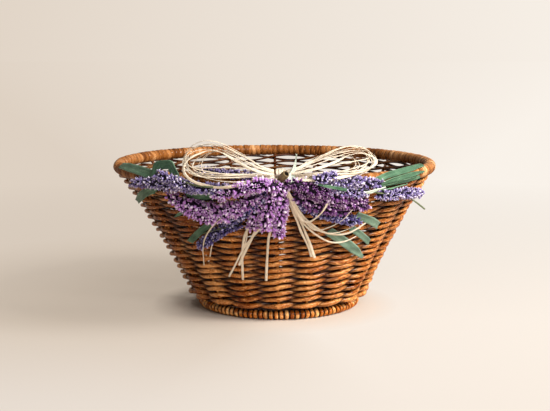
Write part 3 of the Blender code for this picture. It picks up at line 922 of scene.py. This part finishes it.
def base_rod(name, points, seed):
    path = path_mesh(name, [smooth(points, 90)])
    mark_open(rod("long_" + name, path, STAKE, ROD_UNEVEN, ROD_SIDES, seed, [name]), wall_open(-1.0, 2.0))


def crossing(x, y, height):
    """Point of the cross in the base, from its middle."""
    return Vector((FOOT_MIDDLE.x + x, FOOT_MIDDLE.y + y, height))


def base_rods():
    """Long rods crossed in the base, whose ends turn up as stakes, and the one odd half rod."""
    angles = STAKE_ANGLES
    back = STAKES_RIGHT + 1
    fan = (STAKES_RIGHT + STAKES_LEFT) // 6
    pitch = STAKE + CLEARANCE
    for step in range(-fan, fan + 1):
        middle = [crossing(step * pitch, side * CROSS_HOLD, BASE_HEIGHT) for side in (-1, 1)]
        route = stake_route(angles[step])[::-1] + middle + stake_route(angles[back - step])
        base_rod(f"base_rod_under_{step + fan + 1}", route, 100 + step)
    right = range(fan + 1, back - fan)
    left = range(len(angles) - fan - 1, back + fan, -1)
    for number, (east, west) in enumerate(zip(right, left)):
        offset = (number - (len(left) - 1) / 2) * pitch
        middle = [crossing(side * CROSS_HOLD, offset, BASE_HEIGHT + pitch) for side in (1, -1)]
        route = stake_route(angles[east])[::-1] + middle + stake_route(angles[west])
        base_rod(f"base_rod_over_{number + 1}", route, 120 + number)
    base_rod("base_half_rod", stake_route(angles[right[-1]]), 140)


def base_weave():
    """One rod spiralling out from the cross, over and under the fanned rods in turn, onto the foot roll."""
    start = 0.0150
    end = WALL_BOTTOM_RADIUS - 0.0010
    on_foot = FOOT_RADIUS - FOOT_ROLL / 2 - BASE_WEAVER / 2 - CLEARANCE
    climb_over = 0.003
    climb_high = 0.0008
    turns = 20
    lift = 0.0020
    points = []
    for turn, passed, phase, here in round_the_stakes(turns, 4):
        radius = start + (end - start) * (turn + here / 360.0) / turns
        climb = past(radius, on_foot, climb_over)
        wave = lift * (1 - 0.4 * climb) * math.cos(phase)
        points.append(place(here, radius, BASE_HEIGHT + wave + climb_high * climb))
    path = path_mesh("base_spiral", [points])
    mark_open(rod("base_spiral", path, BASE_WEAVER, 0.3, 7, 150, ["base_weaver"]), base_open)


def bowl():
    solids = {}
    for row in range(WEAVE_ROWS):
        solids[round(row * (SEEN_ROWS - 1) / (WEAVE_ROWS - 1))] = f"weave_row_{row + 1:02d}"
    for row in range(SEEN_ROWS):
        name = f"twined_row_{row + 1:02d}"
        points, plump = weave_row_path(row)
        path = path_mesh(name, [points], closed=True, plump=plump)
        replaced = [solids[row]] if row in solids else []
        mark_open(rod(name, path, WEAVER, ROD_UNEVEN, ROD_SIDES, row, replaced), wall_open(0.5, 3.6))
    base_rods()
    base_weave()


# The rim and the foot

def wound_ring(name, middle, radius, width, height, inputs, low, high):
    """Wound roll, in full painted shade within the low share of its half height and free of it from the high share on.
    """
    data = bpy.data.meshes.new(name)
    sizes = {"Ring Radius": radius, "Roll Width": width, "Roll Height": height, "Centre X": middle.x,
             "Centre Y": middle.y, "Centre Z": middle.z}
    ring = grown("wound_" + name, data, ROLL_TREE, {**sizes, **inputs}, [name], "wicker_roll")
    mark_open(ring.data, ring_open(middle, radius, low * height / 2, high * height / 2))


def rim_and_foot():
    rim = {"Strip Width": 0.0070, "Strip Thickness": 0.0018, "Slant": 0.12, "Slack": 0.06, "Turns": 152,
           "Seed": 21, "Material": CANE}
    wound_ring("rim_roll", RIM_MIDDLE, RIM_RADIUS, RIM_ROLL, RIM_ROLL, rim, 0.72, 0.95)
    foot = {"Strip Width": 0.0031, "Strip Thickness": 0.0030, "Slant": 0.04, "Slack": 0.06, "Turns": 98,
            "Seed": 22, "Material": BEAD}
    height = FOOT_HIGH.z - FOOT_LOW.z
    wound_ring("foot_roll", FOOT_MIDDLE, FOOT_RADIUS, FOOT_ROLL, height, foot, 0.80, 0.985)


# The raffia bow, its routes by angle, drop and lift

LOOP_LEFT_HIGH = [(0, -9.2, 6.3), (-4, -11.5, 8), (-8, -15.5, 9), (-12.5, -20.5, 9), (-17, -25, 9),
                  (-22, -27.5, 9), (-27, -25.5, 9.5), (-30.3, -20, 10), (-30, -14.5, 10), (-25, -12, 10.5),
                  (-16, -11, 10), (-7, -9.5, 7.5), (0, -6.7, 3.3)]
LOOP_LEFT_LOW = [(0, -6.6, 6.3), (-4, -8.5, 10), (-8, -12, 14), (-12, -15.5, 14), (-17, -18.5, 14),
                 (-22, -19, 14), (-26, -15.5, 14), (-27, -9.5, 13), (-24.5, -3.5, 11.5), (-19, 0, 9.6),
                 (-14, 0.5, 9.2), (-8, -1, 8.5), (0, -4.8, 3.3)]
LOOP_RIGHT_HIGH = [(4, -9.2, 6.3), (8, -11.2, 8), (12, -14.8, 9), (17, -19.2, 9), (22, -22.5, 9),
                   (27, -24, 9), (31.5, -22.5, 9.5), (33.3, -18.3, 10), (30.5, -14.5, 11), (22, -11.8, 11),
                   (11, -9.5, 8), (4, -6.7, 3.3)]
LOOP_RIGHT_LOW = [(4, -6.6, 6.3), (8, -8.8, 10), (13, -12.2, 13), (18, -15.5, 14), (24, -18, 14),
                  (29, -17.5, 14), (31.5, -13, 13.5), (29.5, -7.8, 12), (23, -4.2, 9.2), (14, -3.6, 9.2),
                  (8, -3.5, 7), (4, -4.8, 3.3)]
LOOPS = 9                     # loops in each side
LOOP_POINTS = 46
LOOP_REACH = (0.80, 1.07)     # how far a loop reaches, as a share of the routes above
LOOP_TOP = (0.02, 0.62)       # how far its upper run lies from the high route to the low one
LOOP_BOTTOM = (0.42, 0.90)    # the same for its lower run
LOOP_TURN = (0.42, 0.68)      # where along it the upper run becomes the lower one
LOOP_WAVE = 0.0024            # how far it waves
LOOP_WIDTH = (0.0005, 0.0012)
WIDE_LOOP = 0.0022            # width of the last loop of a side
RAFFIA_THICK = 0.00045

# Tails: route, width in millimetres, and the number of the solid that the tail stands for or 0
TAILS = [
    ([(-18, 25, 8.0), (-23, 33, 8.5), (-28, 43, 8.0), (-32.5, 53, 5.0), (-35.5, 60, 2.5), (-38, 67, 1.6)],
     1.0, 1),
    ([(-19, 30, 1.2), (-23, 36, 2.0), (-26, 43, 2.2), (-29, 51, 2.0), (-32, 59, 1.6)], 0.9, 0),
    ([(-4, 30, 1.0), (-9, 40, 1.0), (-14, 50, 1.2), (-19, 62, 1.6), (-25, 74, 1.6)], 1.5, 2),
    ([(-5, 26, 1.0), (-8, 36, 1.0), (-12, 48, 1.4), (-15, 56, 1.6), (-18, 64, 1.6)], 2.0, 0),
    ([(-9, 30, 1.0), (-12, 38, 1.0), (-14, 47, 1.2), (-16, 60, 1.3), (-18, 76, 1.0)], 1.9, 0),
    ([(-9, 28, 1.0), (-11, 35, 1.2), (-12, 42, 1.2), (-14, 50, 1.4), (-17, 57, 1.6)], 1.0, 0),
    ([(-1, 30, 1.0), (-3, 41, 0.6), (-4, 52, 0.5), (-5, 64, 0.4), (-6, 76, 0.3)], 2.0, 3),
    ([(4, 6, 4.5), (6, 16, 3.0), (9, 28, 1.0), (11, 36, 1.0), (14, 47, 1.0), (17, 58, 1.5)], 2.3, 4),
    ([(4, 8, 5.0), (5.5, 18, 3.5), (8, 29, 1.6), (10, 38, 1.6), (13, 48, 1.6), (15.3, 57, 1.4)], 1.9, 0),
    ([(4, 5, 6.5), (8, 20, 4.5), (12, 29, 3.0), (18, 37, 3.2), (24, 40, 3.8), (30, 39, 3.8), (36, 33, 3.4)],
     1.7, 5),
    ([(4, 5, 6.0), (7.5, 20, 4.4), (11, 29, 3.4), (16, 36, 3.6), (22, 38.5, 4.4), (28, 36, 4.8),
      (32, 31, 5.5)], 1.0, 0),
    ([(4, 6, 6.0), (7, 22, 4.0), (11, 32, 3.0), (17, 41, 3.0), (23, 46, 3.4), (29, 46, 3.4), (34, 43, 3.0)],
     1.4, 0),
    ([(16, 14, 10.5), (15, 20, 10), (13.5, 25, 8), (11.5, 28.5, 6), (9.2, 27, 4.6), (7, 19, 4.2), (5, 9, 5)],
     1.9, 0),
    ([(25.4, 19.7, 9.5), (23.7, 27, 8.0), (20.3, 32.8, 5.5), (15, 35.5, 4.2), (11, 30, 4.2), (7.5, 20, 4.6)],
     0.8, 0),
]


def route_points(route, count):
    return smooth([outside(*spot) for spot in route], count)


def fibre(name, paths, facings, width, seed, replaced, twist, closed=False):
    """Raffia along one or more paths, whose flat side faces the given way at each point."""
    inputs = {"Width": width, "Thickness": RAFFIA_THICK, "Twist": twist, "Seed": seed, "Material": RAFFIA}
    data = path_mesh(name, paths, closed=closed, facings=facings)
    return grown(name, data, RAFFIA_TREE, inputs, replaced, "raffia")


def strand(name, points, width, seed, replaced, far_end, lay, twist):
    """One free strand of the bow, declared with the length of its route."""
    facings = [outward(point) for point in points]
    piece = fibre(name, [points], facings, width, seed, replaced, twist)
    length = sum((second - first).length for first, second in zip(points, points[1:]))
    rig.cord(piece, exit=points[0], length=length, diameter=width, far_end=far_end, stiffness="limp",
            lay=lay, path=points)


def bow_side(side, high, low, seed):
    """Loops of one side: their upper runs keep near the high loop and their lower runs near the low one."""
    above = route_points(high, LOOP_POINTS)
    below = route_points(low, LOOP_POINTS)
    knot = (above[0] + below[0]) / 2
    chance = random.Random(seed)
    for number in range(LOOPS):
        last = number == LOOPS - 1
        whole = last or number == 0
        share = number / (LOOPS - 1)
        reach = 1.0 if whole else chance.uniform(*LOOP_REACH)
        top = share if whole else chance.uniform(*LOOP_TOP)
        bottom = share if whole else chance.uniform(*LOOP_BOTTOM)
        lift_wave = chance.uniform(0, 2 * math.pi)
        out_wave = chance.uniform(0, 2 * math.pi)
        points = []
        for index, (first, second) in enumerate(zip(above, below)):
            run = index / (LOOP_POINTS - 1)
            loose = math.sin(math.pi * run)
            point = first.lerp(second, top + (bottom - top) * eased(run, *LOOP_TURN))
            point = knot.lerp(point, 1 - (1 - reach) * loose)
            point.z += LOOP_WAVE * loose * math.sin(2.4 * math.pi * run + lift_wave)
            point.y += LOOP_WAVE * loose * math.sin(3 * math.pi * run + out_wave)
            points.append(point)
        replaced = [f"raffia_loop_{side}_{2 if last else 1}"] if whole else []
        width = WIDE_LOOP if last else chance.uniform(*LOOP_WIDTH)
        strand(f"bow_{side}_{number + 1}", points, width, seed + number, replaced, "object", "loose", 2.2)


def tails():
    """Loose ends of the bow, which hang down over the wall from under the flowers."""
    for number, (route, width, solid) in enumerate(TAILS):
        points = route_points(route, 30)
        replaced = [f"raffia_tail_{solid}"] if solid else []
        strand(f"bow_tail_{number + 1}", points, width * MM, 300 + number, replaced, "bare", "hanging", 1.6)


def rim_loop(angle, drop, shift, reach, high):
    """Closed loop that goes over the rim at an angle, with the way that it faces."""
    steps = 24
    middle = standing(angle, drop, shift)
    spoke = Vector((math.sin(math.radians(angle)), -math.cos(math.radians(angle)), 0.0))
    points = []
    facings = []
    for step in range(steps):
        turn = 2 * math.pi * step / steps
        rise = Vector((0.0, 0.0, high * MM * math.sin(turn)))
        points.append(middle + spoke * reach * MM * math.cos(turn) + rise)
        facings.append(spoke * math.cos(turn) + Vector((0.0, 0.0, math.sin(turn))))
    return points, facings


def binding():
    """Strands wound over the rim, and the wraps of the knot on top of them."""
    loops = []
    for step in range(6):
        loops.append(rim_loop(-0.4 + 0.9 * step, 0.0, 0.0, 5.6 + 0.25 * (step % 3), 5.6 + 0.2 * (step % 2)))
    for step in range(4):
        loops.append(rim_loop(0.9 + 0.8 * step, -6.6, 2.6, 4.0 + 0.3 * (step % 2), 2.7 + 0.3 * (step % 3)))
    paths = [path for path, ways in loops]
    facings = [way for path, ways in loops for way in ways]
    fibre("bow_binding", paths, facings, 0.0018, 350, ["raffia_binding"], 0.8, closed=True)


def reed_stub():
    """Short cut reed, open at its end, tucked under the knot."""
    foot = outside(1.8, -3.6, 7.0)
    tip = outside(3.5, -7.8, 12.5)
    way = (tip - foot).normalized()
    side = way.cross(Vector((0.0, 0.0, 1.0))).normalized()
    up = side.cross(way)
    skin = [(-0.002, 2.2), (0.0, 2.6), (0.6, 2.6), (0.92, 2.5), (1.0, 2.3)]
    rings = skin + [(1.0, 1.7), (0.93, 1.5), (0.5, 1.4)]
    sides = 18
    points = []
    for run, radius in rings:
        for step in range(sides):
            turn = 2 * math.pi * step / sides
            rim = side * math.cos(turn) + up * math.sin(turn)
            points.append(foot.lerp(tip, run) + rim * radius * MM)
    data = face_mesh("reed_stub", points, tube_faces(len(rings), sides))
    lay_flat(data, lambda number: (number % sides / sides, rings[number // sides][0]))
    data.materials.append(REED)
    # the hollow of the cut end takes painted shade
    data.materials.append(REED_HOLLOW_SHADE)
    for face in data.polygons:
        face.material_index = 1 if min(face.vertices) >= len(skin) * sides else 0
    data.shade_smooth()
    keep(link("reed_stub", data), [], "leaf")


# The lavender

def small_shape(name, rings, sides):
    """Little turned shape for one flower: height, radius, paleness and depth of the lobes of each ring. The paleness
    paints shade at its foot and highlights at its tips.
    """
    points = []
    paleness = []
    for height, radius, pale, lobe in rings:
        for side in range(sides):
            turn = 2 * math.pi * side / sides
            out = lobe if side % 2 else -lobe
            reach = radius * (1 + out)
            points.append((reach * math.cos(turn), reach * math.sin(turn), height * (1 + 0.4 * out)))
            paleness.append(pale * (1 + out))
    data = face_mesh(name, points, tube_faces(len(rings), sides))
    shade = data.attributes.new("petal", "FLOAT", "POINT")
    shade.data.foreach_set("value", paleness)
    return link(name, data)


BUD = small_shape("bud", [(0.0, 0.12, 0.0, 0.0), (0.35, 0.30, 0.45, 0.0), (0.75, 0.28, 0.68, 0.0),
                          (1.05, 0.07, 0.78, 0.0)], 6)
FLOWER = small_shape("flower", [(0.0, 0.12, 0.0, 0.0), (0.40, 0.28, 0.42, 0.0), (0.72, 0.40, 0.62, 0.28),
                                (0.84, 0.46, 0.74, 0.38), (0.74, 0.30, 0.55, 0.38),
                                (0.50, 0.12, 0.0, 0.0)], 8)

# Flower heads: colour, thickness in millimetres, lift as a share of it, route by angle and drop, whorls
HEADS = [
    ("blue", 8.5, 0.48, [(-54, 6), (-45, 3.5), (-38, 3.5), (-30, 4), (-22, 4), (-15, 4), (-6, 5)], 6),
    ("purple", 11, 0.40, [(-38, 13), (-31, 17), (-24, 20), (-17, 20), (-11, 17), (-6.5, 9)], 5),
    ("blue", 8.5, 0.40, [(-35, 51), (-28, 44), (-22, 37.5), (-17.5, 33.5), (-14.5, 31.5), (-12.5, 30)], 5),
    ("blue", 5.8, 0.55, [(-25, -7), (-19, -6.5), (-13, -6), (-6, -5)], 4),
    ("purple", 10.5, 0.24, [(-9.5, 34), (-7, 24), (-4.5, 14), (-3, 8)], 5),
    ("purple", 10.5, 0.40, [(0.8, 39), (1.0, 28), (1.8, 16), (2.4, 9)], 5),
    ("purple", 11, 0.40, [(33, 18), (26, 15.5), (19, 11.5), (13, 8), (7, 5)], 5),
    ("blue", 9, 0.40, [(32, 31), (24, 27), (17, 22.5), (11, 18), (7.5, 11)], 4),
    ("blue", 8, 0.48, [(35, 2.5), (28, 0.5), (21, -1.5), (15, -3), (8, -3)], 4),
    ("blue", 8, 0.40, [(66, 17), (58, 14.5), (50, 13), (41, 12), (36, 11)], 5),
    ("purple", 9.5, 0.62, [(-35, 15), (-30, 22), (-24, 26), (-16, 23), (-9, 15)], 5),
    ("purple", 9.5, 0.68, [(-19, 9.5), (-12, 4.5), (-6, 0.8), (-1.0, 0.4), (3.2, 3.6)], 4),
    ("purple", 9.0, 0.66, [(30, 13), (21, 9), (13, 4.5), (8, 1), (3, -1)], 4),
    ("purple", 9.0, 0.55, [(25, 21), (18, 18.5), (11, 14), (6, 8)], 4),
    ("blue", 8.0, 0.45, [(-19, 31), (-12, 23), (-6, 15), (-2, 7)], 4),
    ("purple", 9.5, 0.75, [(-4, 34), (-3, 24), (-1, 13), (2.4, 2.5)], 4),
    ("blue", 8.5, 0.62, [(-39.5, -3.5), (-35, -1.8), (-29, 2), (-21, 5)], 3),
    ("blue", 8.5, 0.62, [(31, 9), (25, 7), (19, 5), (14, 3)], 3),
    ("blue", 7.0, 1.50, [(18, -6.0), (14.5, -4.2), (11.5, -3.2)], 3),
    ("blue", 8.0, 0.70, [(27, -0.5), (22, -1.5), (17, -2.5)], 3),
]
SOLID_HEADS = 10              # the first heads have solids of their own
HANGING_DROP = 25             # a head or leaf whose tip is lower than this hangs down the wall
PLUM_FROM = 10                # the purple heads whose tips are to the right of this angle are plum
FLOWER_SIZES = {"blue": 0.0026, "purple": 0.0032}
FLOWER_SPACINGS = {"blue": 0.00152, "purple": 0.00180}
STEM_THICK = 0.0012

# Bare stems, by angle, drop and lift
STEMS = [
    [(-58, 9, 3.0), (-52, 6, 4.0), (-45, 4, 4.0)],
    [(42, 12, 4.0), (34, 9, 4.5), (26, 5, 5.0), (18, 1, 5.0)],
    [(50, 13, 4.0), (54.8, 17.6, 5.0), (58.4, 22, 9.0), (61.7, 27, 14.0)],
    [(-30, 40, 3.0), (-23, 36, 4.5), (-16, 32, 5.0)],
    [(20, -3, 4.0), (13, -4, 5.0), (7, -4, 5.0)],
    [(30, 30, 4.0), (20, 24, 4.0), (12, 18, 4.0)],
    [(-33, -4, 3.0), (-29, -1, 6.0), (-24, 1.5, 7.5), (-18, 2.5, 8.5)],
]


def hanging(route):
    return route[0][1] > HANGING_DROP


def sprig_finish(colour, route):
    if colour == "blue":
        return DEEP_BLUE if hanging(route) else BLUE
    return PLUM if route[0][0] > PLUM_FROM else PURPLE


def lavender():
    for number, (colour, thickness, seat, route, whorls) in enumerate(HEADS):
        name = f"{number + 1}_{colour}"
        points = route_points([(angle, drop, seat * thickness) for angle, drop in route], 40)
        inputs = {"Thickness": thickness * MM, "Whorls": float(whorls), "Spacing": FLOWER_SPACINGS[colour],
                  "Flower Size": FLOWER_SIZES[colour], "Flower": FLOWER, "Bud": BUD,
                  "Seed": 400 + 10 * number, "Material": sprig_finish(colour, route)}
        replaced = ["lavender_" + name] if number < SOLID_HEADS else []
        path = path_mesh("lavender_" + name, [points])
        grown("sprig_" + name, path, HEAD_TREE, inputs, replaced, colour + "_lavender")
    for shape in (BUD, FLOWER):
        bpy.data.objects.remove(shape, do_unlink=True)


def stems():
    path = path_mesh("lavender_stems", [route_points(route, 14) for route in STEMS])
    inputs = {"Thickness": STEM_THICK, "Unevenness": 0.5, "Sides": 6, "Seed": 390, "Material": STEM}
    grown("lavender_stems", path, ROD_TREE, inputs, [], "leaf")


# The strap leaves: width in millimetres, route, share of the width at the tip, slant of the cut, uprightness

LEAVES = [
    (7.0, [(-66, -4, 0.5), (-57, -4, 0.5), (-49, -3.2, 0.6), (-42, -1.5, 0.8)], 0.75, 0.2, 0.0),
    (6.4, [(-41.8, 0.5, 6.5), (-41.0, -5.0, 6.0), (-40.4, -8.6, 5.5), (-38.6, -9.6, 4.5),
           (-36.4, -10.2, 4.5), (-34.8, -10.0, 4.5), (-33.8, -6.8, 5.0), (-31.5, 0.5, 6.5)], 0.9, 0.0, 0.95),
    (6.0, [(-70, 24, 0.5), (-55, 14.5, 0.5), (-44, 8, 0.7)], 0.7, 0.5, 0.0),
    (4.8, [(-41, 49, 0.4), (-33, 40, 0.6), (-24, 30, 0.8)], 0.95, 0.7, 0.0),
    (4.4, [(63, -5, 0.5), (51, -4.2, 0.5), (39, -2.2, 0.5), (33, 1.0, 0.8)], 0.85, 0.2, 0.2),
    (3.6, [(57, 2, 0.5), (48, 3, 0.5), (40, 4.5, 0.5), (35, 6, 0.8)], 0.5, 0.2, 0.0),
    (6.0, [(46, 37, 0.5), (40, 32, 0.5), (31, 26, 0.8)], 0.95, 0.5, 0.0),
    (7.0, [(45, 62, 0.5), (34, 51, 0.5), (21, 37, 0.8)], 0.35, 0.6, 0.0),
    (4.8, [(45, 50, 0.5), (39, 44, 0.5), (31, 36, 0.8)], 0.95, 0.5, 0.0),
    (2.6, [(51, 6, 0.8), (45, 7, 0.8), (38, 8, 0.9)], 0.2, 0.0, 0.0),
    (4.5, [(-31, 10.5, 1.0), (-25, 11, 1.2), (-18, 9, 1.4)], 0.6, 0.2, 0.0),
    (2.4, [(-43, 30, 0.6), (-38, 26, 0.8), (-32, 22, 1.0)], 0.1, 0.0, 0.0),
    (3.4, [(60, -1.2, 0.7), (51, -0.8, 0.8), (42, 1.0, 0.9), (35, 3.5, 1.0)], 0.4, 0.2, 0.1),
    (2.0, [(11.5, -0.6, 9.5), (15, 1.2, 9.5), (19, 3.2, 9.0), (22, 5.0, 8.0)], 0.3, 0.0, 0.0),
]
SOLID_LEAVES = 9              # the first leaves have solids of their own
BLADE = [(7.0, -20.0, 6.0), (6.6, -14.6, 7.0), (5.6, -7.9, 9.0), (4.3, -1.0, 11.5)]
DRY_BLADE = [(36, 4.8, 6.5), (32, 6.4, 7.5), (29, 7.7, 7.5), (26, 8.6, 6.0)]
LEAF_THICK = 0.00035          # half the thickness of a leaf
LEAF_WAVE = 0.0006            # how far the edges of a leaf wave
LEAF_FOLD = 0.16              # how far a leaf folds along its middle, as a share of its half width


def leaf_points(name, width, route, tip, slant, upright, spread, taper, steps, across):
    """Points across a leaf, row by row, each with the way that its upper side faces."""
    wave = wander(name, LEAF_WAVE, (1, 2, 3))
    reach = standing if upright > 0.5 else outside
    points = smooth([reach(*spot) for spot in route], steps)
    spots = []
    for index, point in enumerate(points):
        ahead = points[min(index + 1, steps - 1)] - points[max(index - 1, 0)]
        away = outward(point)
        flat = Vector((away.x, away.y, 0.0)).normalized()
        away = away.lerp(flat, upright)
        side = ahead.cross(away).normalized()
        up = side.cross(ahead).normalized()
        share = index / (steps - 1)
        half = width * MM / 2 * (tip + (1 - tip) * min(1.0, share * spread) ** taper)
        for column in range(across + 1):
            u = 2 * column / across - 1
            shift = ahead.normalized() * slant * half * u * max(0.0, 1 - 4 * share)
            curl = up * (LEAF_FOLD * half * abs(u) + max(0.0, wave(360 * share + 70 * u)))
            spots.append((point + side * half * u + curl + shift, up))
    return spots


def strap_leaf(name, width, route, tip, slant, upright, replaced, finish, spread=3.0, taper=1.0):
    """Narrow leaf along a route, folded a little along its middle, cut at a slant at its tip."""
    steps = 28
    across = 6
    spots = leaf_points(name, width, route, tip, slant, upright, spread, taper, steps, across)
    points = [spot + up * LEAF_THICK for spot, up in spots]
    points += [spot - up * LEAF_THICK for spot, up in spots]
    wide = across + 1
    back = steps * wide
    faces = []
    for index in range(steps - 1):
        for column in range(across):
            low = index * wide + column
            faces.append((low, low + 1, low + wide + 1, low + wide))
            faces.append((back + low, back + low + wide, back + low + wide + 1, back + low + 1))
    border = list(range(wide))
    border += [index * wide + across for index in range(1, steps)]
    border += [(steps - 1) * wide + column for column in range(across - 1, -1, -1)]
    border += [index * wide for index in range(steps - 2, 0, -1)]
    for first, second in zip(border, border[1:] + border[:1]):
        faces.append((second, first, back + first, back + second))
    data = face_mesh(name, points, faces)
    lay_flat(data, lambda number: (number % back % wide / across, number % back // wide / (steps - 1)))
    data.materials.append(finish)
    data.shade_smooth()
    keep(link("strap_" + name, data), replaced, "leaf")


def leaves():
    for number, (width, route, tip, slant, upright) in enumerate(LEAVES):
        name = f"leaf_{number + 1}"
        replaced = [name] if number < SOLID_LEAVES else []
        finish = SAGE_LEAF if hanging(route) else LEAF
        if route[0][0] < 0:
            finish = DEEP_LEAF
        strap_leaf(name, width, route, tip, slant, upright, replaced, finish)
    strap_leaf("blade", 8.5, BLADE, 0.10, 0.0, 0.9, [], PALE_LEAF, spread=1.0, taper=2.4)
    strap_leaf("dry_blade", 2.0, DRY_BLADE, 0.3, 0.0, 0.0, [], PALE_LEAF)


# Camera, floor and light

LENS = 75.0                          # focal length in millimetres
FRAME_WIDTH = 36.0                   # width of the camera's frame in millimetres
EYE = (0.0004, -0.8882, 0.2035)
LOOK_DOWN = 0.1407                   # how far the camera looks down, in radians
LAMP_AIM = (0.0, 0.0, 0.06)
PALE_LEFT = (0.73, 0.635, 0.54)      # the cream of the backdrop on the left
PALE_RIGHT = (0.95, 0.89, 0.82)      # the same on the right, nearer the lamp
FLOOR_LEFT = (0.66, 0.555, 0.450)    # the floor on the left, with the basket's soft shadow painted in
FRONT_LEFT = (0.79, 0.72, 0.655)     # the floor in front, on the left
FRONT_RIGHT = (0.89, 0.82, 0.75)     # the same on the right
FLOOR_CREAM = (0.615, 0.535, 0.455, 1.0)
ROOM_CREAM = (1.0, 0.94, 0.86, 1.0)
ROOM_LIGHT = 0.10                    # strength of the light from all round
FLOOR_REACH = 12.0
SIDE_SPAN = 0.30                     # how far to each side the cream pales
SHADOW_EDGE = (0.066, 0.098)         # distances over which the floor gets the first part of its glow
SHADOW_SHARE = 0.66                  # how much of the glow that is
GLOW_EDGE = (0.15, 0.85)             # distances over which it gets the rest
CREAM_EDGE = (0.17, 0.38)            # distances over which the floor's cream becomes the backdrop's
FRONT_EDGE = (-0.26, -0.06)          # depths over which the cream in front becomes the floor's


def camera():
    lens = bpy.data.cameras.new("camera")
    lens.lens = LENS
    lens.sensor_width = FRAME_WIDTH
    eye = link("camera", lens)
    eye.location = EYE
    eye.rotation_euler = (math.pi / 2 - LOOK_DOWN, 0.0, 0.0)
    bpy.context.scene.camera = eye
    bpy.context.scene.view_settings.view_transform = "Standard"


def lamp(name, spot, size, power, colour):
    """Soft square lamp that faces the basket."""
    data = bpy.data.lights.new(name, "AREA")
    data.size = size
    data.energy = power
    data.color = colour
    made = link(name, data)
    made.location = spot
    aim = Vector(LAMP_AIM) - Vector(spot)
    made.rotation_euler = aim.to_track_quat("-Z", "Y").to_euler()


def side_glow(nodes, way, left, right=PALE_RIGHT):
    """Cream that pales from the left of the basket to its right, by a direction across the room: painted light,
    brighter on the lamp's side.
    """
    return nodes.ramp(nodes.to_range(way, 0.0, 1.0, -SIDE_SPAN, SIDE_SPAN), [(0.0, left), (1.0, right)])


def room():
    """Soft light from all round, and a cream backdrop for the eye."""
    world = bpy.data.worlds.new("studio")
    bpy.context.scene.world = world
    world.use_nodes = True
    nodes = Nodes(world.node_tree)
    nodes.tree.nodes.clear()
    cream = side_glow(nodes, nodes.axes(nodes.spot("Generated"))[0], PALE_LEFT)
    light = nodes.add("ShaderNodeBackground", {"Color": ROOM_CREAM, "Strength": ROOM_LIGHT})[0]
    plain = nodes.add("ShaderNodeBackground", {"Color": cream, "Strength": 1.0})[0]
    both = nodes.add("ShaderNodeMixShader", {0: nodes.seen_rays(), 1: light, 2: plain})[0]
    nodes.add("ShaderNodeOutputWorld", {"Surface": both})


def floor_material():
    """Pale floor that keeps the basket's shadow and runs out into the backdrop."""
    nodes = Finish("pale floor")
    nodes.wire(nodes.shader.inputs["Base Color"], FLOOR_CREAM)
    nodes.wire(nodes.shader.inputs["Roughness"], 0.8)
    spot = nodes.spot()
    away = nodes.vector_math("LENGTH", spot, "Value")
    way = nodes.axes(nodes.vector_math("NORMALIZE", spot))[0]
    far = nodes.plus(nodes.to_range(away, 0.0, SHADOW_SHARE, *SHADOW_EDGE),
                     nodes.to_range(away, 0.0, 1 - SHADOW_SHARE, *GLOW_EDGE))
    far = nodes.times(far, nodes.seen_rays())
    cream = nodes.mixed(nodes.to_range(away, 0.0, 1.0, *CREAM_EDGE),
                        side_glow(nodes, way, FLOOR_LEFT), side_glow(nodes, way, PALE_LEFT))
    cream = nodes.mixed(nodes.to_range(nodes.axes(spot)[1], 1.0, 0.0, *FRONT_EDGE), cream,
                        side_glow(nodes, way, FRONT_LEFT, FRONT_RIGHT))
    glow = nodes.add("ShaderNodeEmission", {"Color": cream, "Strength": 1.0})[0]
    both = nodes.add("ShaderNodeMixShader", {0: far, 1: nodes.shader.outputs[0], 2: glow})[0]
    nodes.wire(nodes.tree.nodes["Material Output"].inputs["Surface"], both)
    return nodes.material


def backdrop():
    """Room, floor and two lamps, with the light mostly from the right."""
    room()
    corners = [(x * FLOOR_REACH, y * FLOOR_REACH, 0.0) for x, y in ((-1, -1), (1, -1), (1, 1), (-1, 1))]
    floor = link("floor", face_mesh("floor", corners, [(0, 1, 2, 3)]))
    floor.data.materials.append(floor_material())
    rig.stage(floor)
    lamp("key lamp", (1.15, -0.58, 1.02), 0.60, 39.0, (1.0, 0.965, 0.92))
    lamp("front lamp", (0.50, -1.12, 0.85), 0.80, 14.5, (1.0, 0.98, 0.96))


camera()
backdrop()
bow_side("left", LOOP_LEFT_HIGH, LOOP_LEFT_LOW, 200)
bow_side("right", LOOP_RIGHT_HIGH, LOOP_RIGHT_LOW, 250)
tails()
binding()
reed_stub()
bowl()
rim_and_foot()
lavender()
stems()
leaves()

boxes = {"cad": [list(corner) for corner in CAD_BOX], "visual": [list(corner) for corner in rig.bounds()]}
with open("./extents.json", "w") as size_file:
    json.dump(boxes, size_file)
